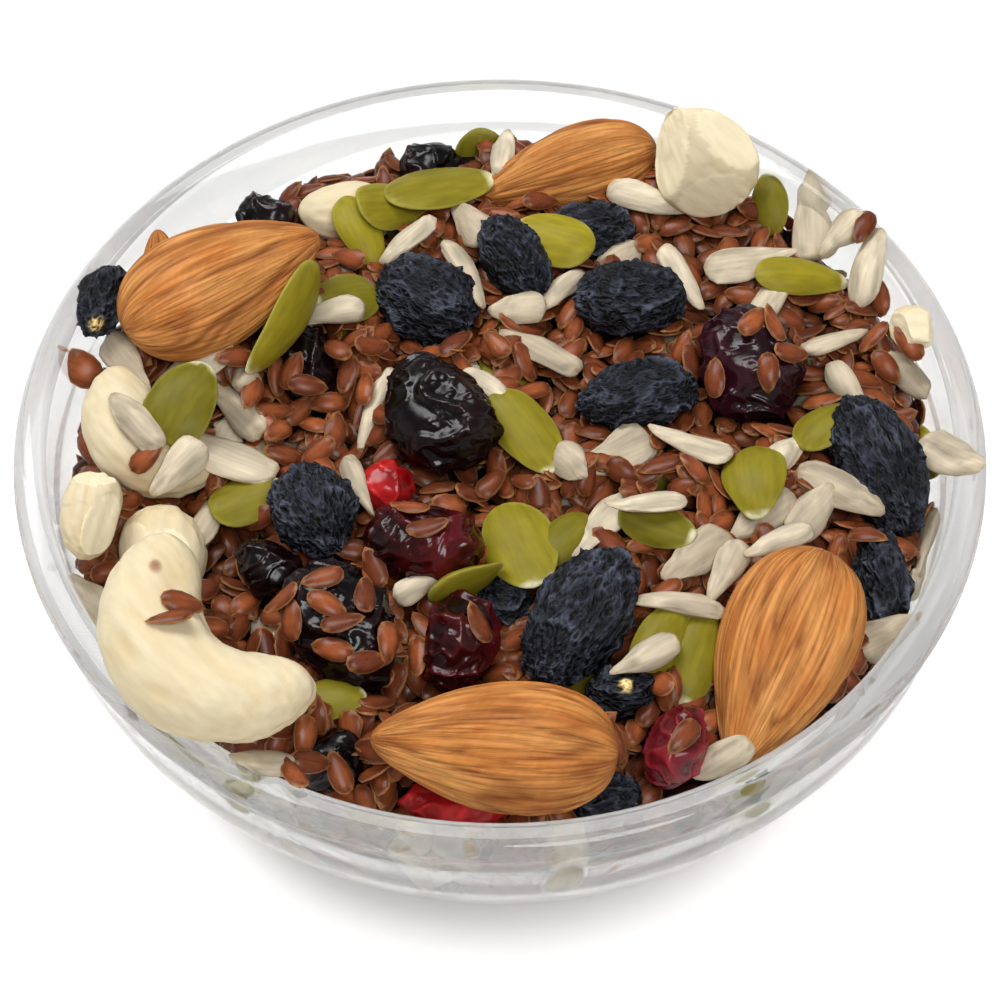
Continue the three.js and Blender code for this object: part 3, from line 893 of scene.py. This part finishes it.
def make_core():
    """The inside of the heap, behind the seeds that lie against the glass: its top near black as painted
    shade in the gaps between the seeds, its sides dark brown, the mix's colour with painted shade.
    """
    turn = np.arange(CORE_SEGMENTS) * 2 * math.pi / CORE_SEGMENTS
    edge = heap_level(RIM_INNER_RADIUS * np.cos(turn), RIM_INNER_RADIUS * np.sin(turn))
    floor = INSIDE_WALL[0][1] + CORE_BEHIND_GLASS
    profile = [[0, floor]] + [[1, 0]] * (CORE_WALL_ROWS + CORE_TOP_ROWS) + [[0, heap_level(0, 0)]]
    points, triangles = lathe(profile, CORE_SEGMENTS)
    rows = []
    for share in np.linspace(0, 1, CORE_WALL_ROWS + 1)[1:]:
        height = floor + (edge - floor) * share**2
        radius = np.maximum(wall_radius(height - CORE_BEHIND_GLASS / 2) - CORE_BEHIND_GLASS, 1)
        rows.append(np.stack([radius * np.cos(turn), radius * np.sin(turn), height], axis=1))
    for share in np.linspace(1, 0, CORE_TOP_ROWS + 2)[1:-1]:
        radius = (wall_radius(edge) - CORE_BEHIND_GLASS) * share
        x = radius * np.cos(turn)
        y = radius * np.sin(turn)
        rows.append(np.stack([x, y, heap_level(x, y)], axis=1))
    points[2:] = np.vstack(rows)
    grain = noise_of(points * CORE_GRAIN_SCALE)
    top = points[:, 2] > heap_level(points[:, 0], points[:, 1]) - CORE_TOP_MARGIN
    points[:, 2] += np.where(top, CORE_TOP_RELIEF * grain, 0)
    dark = blend(*CORE_TOP_PAINTED_SHADE, CORE_TONE + grain)
    brown = blend(*CORE_SIDE_BROWN_AND_SHADE, CORE_TONE + grain)
    tint = np.where(top[:, None], dark, brown)
    make_piece("heap_core", points, triangles, HEAP_CORE, ["seed_mix"], tint, points)


class Bed:
    """Heights over two coordinates, raised by every seed that settles there."""

    def __init__(self, low, high, round_first=False):
        self.low = np.array(low, float)
        self.count = np.ceil((np.array(high) - self.low) / BED_CELL).astype(int)
        self.heights = np.zeros(self.count)
        self.round_first = round_first

    def cells(self, first, second):
        """The cells in which places lie."""
        i = np.floor((first - self.low[0]) / BED_CELL).astype(int)
        j = np.floor((second - self.low[1]) / BED_CELL).astype(int)
        i = i % self.count[0] if self.round_first else np.clip(i, 0, self.count[0] - 1)
        return i, np.clip(j, 0, self.count[1] - 1)

    def centres(self):
        """The coordinates of all cells' middles."""
        axes = [self.low[k] + (np.arange(self.count[k]) + 0.5) * BED_CELL for k in range(2)]
        return np.meshgrid(*axes, indexing="ij")

    def settle(self, first, second, yaw, size, steepest, stretch=1):
        """Lays a seed down: gives its middle's height and its slopes along and across."""
        length, width, thickness = size
        along = np.linspace(-1, 1, int(length / BED_CELL) + 2)
        across = np.linspace(-1, 1, int(width / BED_CELL) + 2)
        a, b = [axis.ravel() for axis in np.meshgrid(along, across)]
        inside = a**2 + b**2 <= 1
        a = a[inside]
        b = b[inside]
        central = a**2 + b**2 <= REST_CENTRE**2
        arch = thickness * np.sqrt(np.maximum(0, 1 - a**2 - b**2))
        a = a * length / 2
        b = b * width / 2
        along_first = a * math.cos(yaw) - b * math.sin(yaw)
        along_second = a * math.sin(yaw) + b * math.cos(yaw)
        i, j = self.cells(first + stretch * along_first, second + along_second)
        ground = np.median(self.heights[i, j][central])
        heights = np.minimum(self.heights[i, j], ground + STEP_ABOVE)
        terms = np.stack([np.ones_like(a), a, b], axis=1)
        fit = np.linalg.lstsq(terms, heights, rcond=None)[0]
        slopes = np.clip(fit[1:], -steepest, steepest)
        plane = slopes[0] * a + slopes[1] * b
        rest = np.percentile(heights - plane, REST_PERCENTILE)
        self.heights[i, j] = np.maximum(self.heights[i, j], rest + plane + arch)
        return rest + REST_LIFT * thickness, slopes


def seed_form(kind):
    """A drop of unit sizes with its narrow end on +X, with how near the rim and how far along points lie."""
    grid, triangles = sphere_grid(kind["sides"], kind["rings"])
    x = grid[:, 0]
    spread = np.maximum(np.hypot(grid[:, 1], grid[:, 2]), NEARLY_NONE)
    turn = np.arctan2(grid[:, 2], grid[:, 1])
    turn = turn - RIM_DENSITY * np.sin(2 * turn)
    y = spread * np.cos(turn)
    z = spread * np.sin(turn)
    narrow = (1 - kind["taper"] * x) * spread ** (kind["fullness"] - 1)
    reach = x + kind["point"] * np.maximum(x, 0) ** POINT_POWER
    rim = 1 - z**2
    groove = kind["rim"] * np.exp(-((rim - RIM_LINE_PLACE) / RIM_LINE_WIDTH) ** 2)
    lens = np.abs(np.sin(turn)) ** kind["edge"]
    thickness = z * lens * narrow * (1 - groove)
    form = np.stack([reach / (2 + kind["point"]), y * narrow / 2, thickness / 2], axis=1)
    return form, triangles, rim, x


class Batch:
    """Small meshes of the heap, gathered into one piece."""

    def __init__(self):
        self.parts = []
        self.count = 0

    def add(self, points, triangles, tint, grain):
        """Takes one more small mesh in."""
        self.parts.append((points, triangles + self.count, tint, grain))
        self.count += len(points)

    def make(self, name, material, slot):
        """The piece that holds them all."""
        points, triangles, tint, grain = [np.vstack(rows) for rows in zip(*self.parts)]
        make_piece(name, points, triangles, material, ["seed_mix"], tint, grain)


class Seeds:
    """Seeds of one kind, with the batch that gathers them."""

    def __init__(self, kind, colours):
        self.kind = kind
        self.form, self.triangles, self.rim, self.along = seed_form(kind)
        self.colours = colours
        self.batch = Batch()

    def add(self, middle, axes, size, shade=1):
        """One more seed, a little bent, uneven and grooved in its own way, its colour darkened by the given
        painted shade.
        """
        bend = RANDOM.uniform(-SEED_BEND, SEED_BEND)
        start = RANDOM.uniform(0, NOISE_STARTS)
        lumps = noise_vectors(self.form * LUMP_SCALE + start)
        grooves = noise_of(self.form * GROOVE_SCALE - start)
        uneven = 2 * RANDOM.uniform(-1, 1) * self.kind["uneven"] * self.form[:, 0]
        wider = 1 + uneven + self.kind["grooves"] * grooves
        local = self.form * np.stack([np.ones_like(wider), wider, wider], axis=1)
        local = (local + self.kind["lumps"] * lumps * LUMP_WAYS) * size
        local[:, 2] += bend * size[0] * (self.form[:, 0] ** 2 * 4 - SEED_BEND_MIDDLE)
        self.batch.add(middle + local @ axes, self.triangles, shade * self.colours(self), local + start)


FLAX_LIGHT = linear(166, 90, 50)
FLAX_DARK = linear(106, 52, 30)
# Painted shade towards a flax seed's edge, and a painted highlight on its rim
FLAX_EDGE_SHADE = linear(84, 38, 22)
FLAX_RIM_HIGHLIGHT = linear(194, 136, 82)
FLAX_SHADE_RANGE = (0.15, 0.7)
FLAX_HIGHLIGHT_RANGE = (0.85, 1)
FLAX_PAINTED_LIGHT_STRENGTH = 0.75


def flax_colours(seeds):
    """Brown, with painted shade towards the edge and a thin painted highlight along the rim."""
    body = FLAX_DARK + (FLAX_LIGHT - FLAX_DARK) * RANDOM.uniform(0, 1)
    tint = blend(body, FLAX_EDGE_SHADE, FLAX_PAINTED_LIGHT_STRENGTH * smoothstep(seeds.rim, *FLAX_SHADE_RANGE))
    return blend(tint, FLAX_RIM_HIGHLIGHT, FLAX_PAINTED_LIGHT_STRENGTH * smoothstep(seeds.rim, *FLAX_HIGHLIGHT_RANGE))


SUNFLOWER_LIGHT = linear(214, 200, 174)
SUNFLOWER_GREY = linear(174, 158, 134)
SUNFLOWER_TIP = linear(168, 136, 98)
SUNFLOWER_PALENESS = (0.2, 1)
SUNFLOWER_STREAK_SCALE = [0.8, 9, 9]
SUNFLOWER_STREAKS = 0.55
SUNFLOWER_TIP_RANGE = (0.82, 1)
SUNFLOWER_TIP_STRENGTH = 0.35


def sunflower_colours(seeds):
    """Greyish cream with streaks along it and slightly browned tips."""
    body = SUNFLOWER_GREY + (SUNFLOWER_LIGHT - SUNFLOWER_GREY) * RANDOM.uniform(*SUNFLOWER_PALENESS)
    streaks = noise_of(seeds.form * SUNFLOWER_STREAK_SCALE + RANDOM.uniform(0, NOISE_STARTS))
    tint = body * (1 + SUNFLOWER_STREAKS * streaks)[:, None]
    browned = SUNFLOWER_TIP_STRENGTH * smoothstep(np.abs(seeds.along), *SUNFLOWER_TIP_RANGE)
    return blend(tint, SUNFLOWER_TIP, browned)


PUMPKIN_LIGHT = linear(154, 140, 34)
PUMPKIN_DARK = linear(114, 106, 26)
PUMPKIN_RIM = linear(166, 158, 70)
PUMPKIN_TIP = linear(226, 220, 180)
PUMPKIN_PATCH_SCALE = 5
PUMPKIN_PATCHES = 0.2
PUMPKIN_RIM_RANGE = (0.84, 0.97)
PUMPKIN_RIM_STRENGTH = 0.6
PUMPKIN_TIP_RANGE = (0.86, 0.98)
PUMPKIN_TIP_WAVE = 0.1


def pumpkin_colours(seeds):
    """Green in faint patches, with a paler rim and a nearly white tip."""
    body = PUMPKIN_DARK + (PUMPKIN_LIGHT - PUMPKIN_DARK) * RANDOM.uniform(0, 1)
    patches = noise_of(seeds.form * PUMPKIN_PATCH_SCALE + RANDOM.uniform(0, NOISE_STARTS))
    tint = body * (1 + PUMPKIN_PATCHES * patches)[:, None]
    tint = blend(tint, PUMPKIN_RIM, PUMPKIN_RIM_STRENGTH * smoothstep(seeds.rim, *PUMPKIN_RIM_RANGE))
    return blend(tint, PUMPKIN_TIP, smoothstep(seeds.along + PUMPKIN_TIP_WAVE * patches, *PUMPKIN_TIP_RANGE))


def frame_on(normal, first, second, yaw, slopes, edge_on):
    """Axes of a seed that lies on a surface, from its yaw and its slopes along and across."""
    along = math.cos(yaw) * first + math.sin(yaw) * second
    across = math.cos(yaw) * second - math.sin(yaw) * first
    long_axis = normalized(along + slopes[0] * normal)
    side_axis = across + slopes[1] * normal
    side_axis = normalized(side_axis - side_axis.dot(long_axis) * long_axis)
    up_axis = np.cross(long_axis, side_axis)
    if edge_on:
        return np.array([long_axis, up_axis, -side_axis])
    return np.array([long_axis, side_axis, up_axis])


class Top:
    """The open top of the heap, with the nuts and fruits on it."""

    def __init__(self, nut_points):
        self.bed = Bed([-BED_REACH, -BED_REACH], [BED_REACH, BED_REACH])
        x, y = self.bed.centres()
        reach = np.hypot(x, y)
        rim = np.where(reach < RIM_RADIUS, BOWL_HEIGHT, 0)
        self.bed.heights = np.where(reach < wall_radius(HEAP_WALL_LEVEL), heap_level(x, y), rim)
        cells = self.bed.cells(nut_points[:, 0], nut_points[:, 1])
        self.all_nuts = np.zeros_like(self.bed.heights)
        np.maximum.at(self.all_nuts, cells, nut_points[:, 2])
        self.undersides = np.full_like(self.bed.heights, BOWL_HEIGHT * 2)
        np.minimum.at(self.undersides, cells, nut_points[:, 2])
        self.nuts = np.where(self.undersides < self.bed.heights + ROOM_UNDER, self.all_nuts, 0)

    def covered(self, x, y):
        """Whether a nut or fruit that lies low is over a place."""
        i, j = self.bed.cells(x, y)
        return self.nuts[i, j] > self.bed.heights[i, j]

    def lay(self, seeds, place, yaw, size, steepest=LOOSE_STEEPEST, sight=None, raised=0, edge_on=False):
        """A seed at rest over a place, or close over it on the line of sight through it."""
        flat = [size[0], size[2], size[1]] if edge_on else size
        height, slopes = self.bed.settle(place[0], place[1], yaw, flat, steepest)
        axes = frame_on(np.array([0, 0, 1]), np.array([1, 0, 0]), np.array([0, 1, 0]), yaw, slopes, edge_on)
        middle = np.array([place[0], place[1], height])
        if sight is not None:
            rise = min(height - place[2], HIGHEST_RISE * size[1]) + raised
            middle = place + sight * (rise / sight[2])
        # Painted shade: a seed that lies low over the core gets a darker colour
        above = middle[2] - heap_level(middle[0], middle[1])
        shade = DEEP_PAINTED_SHADE + (1 - DEEP_PAINTED_SHADE) * smoothstep(above, *DEEP_RANGE)
        seeds.add(middle, axes, size, shade)

    def scatter(self, seeds, count, reach, share):
        """Seeds at random places between the nuts, as dense as the share of each place says."""
        laid = 0
        while laid < count:
            x, y = RANDOM.uniform(-reach, reach, 2)
            if math.hypot(x, y) < reach and RANDOM.uniform() < share(x, y) and not self.covered(x, y):
                size = np.array(seeds.kind["size"]) * RANDOM.uniform(*SIZE_SPREAD, 3)
                self.lay(seeds, (x, y), random_turn(), size)
                laid += 1

    def fill_gaps(self, seeds, tries, reach):
        """Seeds where the heap's core still shows, and as many under high nuts as it takes to carry them."""
        for x, y in RANDOM.uniform(-reach, reach, (tries, 2)):
            i, j = self.bed.cells(x, y)
            ground = self.bed.heights[i, j]
            room = self.undersides[i - 1:i + 2, j - 1:j + 2].min() - ground
            needed = ground < heap_level(x, y) + GAP_DEPTH or ROOM_TO_FILL < room < BOWL_HEIGHT / 2
            if needed and room > ROOM_FOR_FLAX and math.hypot(x, y) < reach:
                self.lay(seeds, (x, y), random_turn(), np.array(seeds.kind["size"]))

    def cover(self, nuts):
        """From here on seeds may also come to rest on these nuts and fruits."""
        self.bed.heights = np.maximum(self.bed.heights, nuts)

    def seen_at(self, u, v):
        """Where the line of sight through a pixel meets the heap, its direction and a pixel's size there."""
        way = np.array([(u - PHOTO_SIDE / 2) / CAMERA_FOCAL, 0, 0])
        way = way + CAMERA_UP * (PHOTO_SIDE / 2 - v) / CAMERA_FOCAL - CAMERA_BACK
        depths = (SIGHT_HEIGHTS - CAMERA_PLACE[2]) / way[2]
        places = CAMERA_PLACE + depths[:, None] * way
        ground = self.bed.heights[self.bed.cells(places[:, 0], places[:, 1])]
        hit = np.argmax(SIGHT_HEIGHTS <= ground)
        return places[hit], way, depths[hit] / CAMERA_FOCAL

    def lay_as_seen(self, seeds, spots, edge_on=False):
        """Seeds at pixels of the photo, with the angles and the sizes that they show there."""
        steepest = EDGE_STEEPEST if edge_on else SPOT_STEEPEST
        for u, v, angle, *more in spots:
            place, sight, pixel = self.seen_at(u, v)
            across = math.cos(math.radians(angle))
            upward = math.sin(math.radians(angle)) / math.sin(CAMERA_ELEVATION)
            yaw = math.atan2(upward, across)
            size = np.array(seeds.kind["size"])
            if more:
                size[0] = more[0] * pixel * math.hypot(across, upward)
                size[1] = size[1] if edge_on else more[1] * pixel * SPOT_WIDENING
            if RANDOM.uniform() < 0.5:
                yaw += math.pi
            raised = more[2] if len(more) > 2 else 0
            self.lay(seeds, place, yaw, size, steepest, sight, raised, edge_on)


WALL_FRUIT_GRID = (40, 28)
WALL_FRUIT_SHIFT = 5.3
# Nuts and fruits at the glass: name, count, size, looks, material and slot
WALL_FRUITS = [
    ("raisins_at_the_glass", 10, [11.5, 8.5, 6], raisin_looks, RAISIN_SKIN, "raisin"),
    ("cranberries_at_the_glass", 10, [11, 8, 5.5], cranberry_looks, CRANBERRY_SKIN, "cranberry"),
    ("almonds_at_the_glass", 6, [23, 13, 7], almond_looks, ALMOND_SKIN, "almond"),
    ("cashews_at_the_glass", 4, [19, 10.5, 7], cashew_looks, CASHEW_FLESH, "cashew"),
]


class Wall:
    """The mix pressed against the inside of the glass."""

    def __init__(self):
        steps = np.linalg.norm(np.diff(INSIDE_WALL, axis=0), axis=1)
        self.lengths = np.concatenate([[0], np.cumsum(steps)])
        self.bed = Bed([0, 0], [2 * math.pi * RIM_INNER_RADIUS, self.lengths[-1]], round_first=True)

    def rest(self, angle, length, yaw, size):
        """Middle and axes of what is pressed against the glass there."""
        here = [np.interp(length, self.lengths, INSIDE_WALL[:, k]) for k in range(2)]
        ahead = [np.interp(length + WALL_STEP, self.lengths, INSIDE_WALL[:, k]) for k in range(2)]
        rise = normalized(np.array(ahead) - np.array(here))
        out = np.array([math.cos(angle), math.sin(angle), 0])
        first = np.array([-math.sin(angle), math.cos(angle), 0])
        second = rise[0] * out + np.array([0, 0, rise[1]])
        normal = np.cross(first, second)
        normal = normal if normal.dot(out) < 0 else -normal
        stretch = RIM_INNER_RADIUS / here[0]
        depth, slopes = self.bed.settle(angle * RIM_INNER_RADIUS, length, yaw, size, WALL_STEEPEST, stretch)
        middle = here[0] * out + np.array([0, 0, here[1]]) + normal * (depth - SEEDS_INTO_GLASS)
        return middle, frame_on(normal, first, second, yaw, slopes, False)

    def free_place(self, below):
        """A random place on the glass, so far below the heap's top."""
        while True:
            angle = random_turn()
            length = RANDOM.uniform(WALL_START, self.lengths[-1])
            radius, height = [np.interp(length, self.lengths, INSIDE_WALL[:, k]) for k in range(2)]
            level = heap_level(radius * math.cos(angle), radius * math.sin(angle))
            if height < level - below and RANDOM.uniform() < radius / RIM_INNER_RADIUS:
                return angle, length

    def scatter(self, seeds, count):
        """Seeds at random places on the glass."""
        for _ in range(count):
            size = np.array(seeds.kind["size"]) * RANDOM.uniform(*SIZE_SPREAD, 3)
            seeds.add(*self.rest(*self.free_place(0), random_turn(), size), size)

    def press_fruits(self):
        """Nuts and fruits of the heap that lie against the glass, one mesh for each kind."""
        grid, faces = sphere_grid(*WALL_FRUIT_GRID)
        for name, count, usual_size, looks, material, slot in WALL_FRUITS:
            batch = Batch()
            for number in range(count):
                size = np.array(usual_size) * RANDOM.uniform(*FRUIT_SPREAD, 3)
                yaw = random_turn()
                middle, axes = self.rest(*self.free_place(usual_size[1]), yaw, size)
                body = Body(middle, axes, size / 2, grid * size / 2, faces)
                lift, tint = looks(body, WALL_FRUIT_SHIFT * number + 1)
                batch.add(body.raised(lift), faces, tint, body.grain + number)
            batch.make(name, material, slot)


DEEP_FLAX_GRID = {"sides": 8, "rings": 5}
FLAX_LEAST_SHARE = 0.6
FLAX_THICK_RANGE = (-25, 10)
FLAX_BACKWARD = 0.4


def flax_share(x, y):
    """Flax lies thickest on the right and at the back."""
    thick = float(smoothstep(x + FLAX_BACKWARD * y, *FLAX_THICK_RANGE))
    return FLAX_LEAST_SHARE + (1 - FLAX_LEAST_SHARE) * thick


def everywhere(x, y):
    """The other seeds lie alike in all places."""
    return 1


def make_seeds(nut_points):
    """Seeds at the glass, scattered on top, in the gaps, and one by one where the photo shows them."""
    flax = Seeds(FLAX, flax_colours)
    sunflower = Seeds(SUNFLOWER, sunflower_colours)
    pumpkin = Seeds(PUMPKIN, pumpkin_colours)
    deep_flax = Seeds({**FLAX, **DEEP_FLAX_GRID}, flax_colours)
    wall = Wall()
    wall.press_fruits()
    wall.scatter(pumpkin, WALL_COUNTS["pumpkin"])
    wall.scatter(sunflower, WALL_COUNTS["sunflower"])
    wall.scatter(deep_flax, WALL_COUNTS["flax"])
    top = Top(nut_points)
    top.scatter(pumpkin, TOP_COUNTS["pumpkin"], TOP_REACH["pumpkin"], everywhere)
    top.scatter(sunflower, TOP_COUNTS["sunflower"], TOP_REACH["sunflower"], everywhere)
    top.scatter(flax, TOP_COUNTS["flax"], TOP_REACH["flax"], flax_share)
    top.fill_gaps(deep_flax, GAP_TRIES, TOP_REACH["flax"])
    top.cover(top.nuts)
    top.lay_as_seen(pumpkin, PUMPKIN_UNDER_SPOTS)
    top.lay_as_seen(sunflower, SUNFLOWER_SPOTS)
    top.lay_as_seen(pumpkin, PUMPKIN_SPOTS)
    top.lay_as_seen(pumpkin, PUMPKIN_EDGE_SPOTS, edge_on=True)
    top.cover(top.all_nuts)
    top.lay_as_seen(flax, FLAX_SPOTS)
    deep_flax.batch.make("flax_in_the_heap", FLAX_SKIN, "seeds")
    flax.batch.make("flax_seeds", FLAX_SKIN, "seeds")
    sunflower.batch.make("sunflower_kernels", SUNFLOWER_FLESH, "seeds")
    pumpkin.batch.make("pumpkin_seeds", PUMPKIN_SKIN, "seeds")


# Studio, in metres

# Glow of the light table by the distance from the bowl's middle in millimetres: low under and near the bowl
# as a painted shadow, and highest in a ring round it as painted light
FLOOR_GLOW_AND_SHADOW = [(37.5, 0.08), (40, 0.33), (43.5, 0.55), (60, 0.6), (90, 0.1)]
FLOOR_HALF_SIDE = 3
# Light of the surroundings at the horizon and below it, and from the given upward slope on
WORLD_LOW = 0.8
WORLD_HIGH = 0.22
WORLD_HIGH_FROM = 0.5
# Round soft lights: place, size and power
LIGHTS_AIM = (0, 0, 0.03)
LIGHTS = {
    "key": ((-0.25, 0.2, 0.55), 0.35, 2.35),
    "fill": ((0.15, -0.35, 0.6), 0.3, 2.1),
    "back": ((0.02, 0.25, 0.62), 0.22, 0.8),
}


def grey(value):
    return (value, value, value, 1)


def make_camera():
    """The camera that took the photo."""
    camera = bpy.data.cameras.new("camera")
    camera.lens = CAMERA_FOCAL * SENSOR_WIDTH / PHOTO_SIDE
    camera.sensor_width = SENSOR_WIDTH
    camera.clip_start = 0.01
    holder = add_object("camera", camera)
    holder.location = CAMERA_PLACE * MM
    holder.rotation_euler = (math.pi / 2 - CAMERA_ELEVATION, 0, 0)
    bpy.context.scene.camera = holder


def add_light(name, place, size, power):
    """A round soft light that shines on the bowl."""
    light = bpy.data.lights.new(name, "AREA")
    light.shape = "DISK"
    light.size = size
    light.energy = power
    holder = add_object(name, light)
    way = normalized(np.array(LIGHTS_AIM, float) - np.array(place, float))
    holder.location = place
    holder.rotation_euler = (math.acos(-way[2]), 0, math.atan2(way[1], way[0]) - math.pi / 2)


def make_world():
    """Soft light from all round, brighter from the sides and from below than from above."""
    world = bpy.data.worlds.new("studio")
    world.use_nodes = True
    tree = world.node_tree
    place = add_node(tree, "ShaderNodeTexCoord").outputs["Generated"]
    split = add_node(tree, "ShaderNodeSeparateXYZ", {"Vector": place})
    ramp = add_node(tree, "ShaderNodeValToRGB", {"Fac": split.outputs["Z"]})
    low, high = ramp.color_ramp.elements
    low.color = grey(WORLD_LOW)
    high.position = WORLD_HIGH_FROM
    high.color = grey(WORLD_HIGH)
    feed(tree, tree.nodes["Background"], {"Color": ramp.outputs["Color"]})
    bpy.context.scene.world = world


def floor_material():
    """A pale light table whose glow is low under and near the bowl, a painted shadow, and highest in a ring
    round it.
    """
    material, tree, shader = new_material("pale_floor")
    place = add_node(tree, "ShaderNodeTexCoord").outputs["Object"]
    distance = add_node(tree, "ShaderNodeVectorMath", {0: place}, operation="LENGTH")
    glow = add_node(tree, "ShaderNodeValToRGB", {"Fac": distance.outputs["Value"]})
    stops = glow.color_ramp.elements
    while len(stops) < len(FLOOR_GLOW_AND_SHADOW):
        stops.new(1)
    for stop, (radius, strength) in zip(stops, FLOOR_GLOW_AND_SHADOW):
        stop.position = radius * MM
        stop.color = grey(strength)
    feed(tree, shader, {
        "Base Color": grey(0.8),
        "Roughness": 0.9,
        "Specular IOR Level": 0.1,
        "Emission Color": grey(1),
        "Emission Strength": glow.outputs["Color"],
    })
    return material


def make_floor():
    """A wide floor under the bowl, for the stage alone."""
    side = FLOOR_HALF_SIDE
    corners = [(-side, -side, 0), (side, -side, 0), (side, side, 0), (-side, side, 0)]
    mesh = bpy.data.meshes.new("floor")
    mesh.from_pydata(corners, [], [(0, 1, 2, 3)])
    mesh.materials.append(floor_material())
    floor = add_object("floor", mesh)


make_bowl()
make_core()
make_seeds(make_nuts_and_fruits())
make_camera()
make_world()
for light_name, light in LIGHTS.items():
    add_light(light_name, *light)
make_floor()
bpy.context.scene.view_settings.view_transform = "Standard"
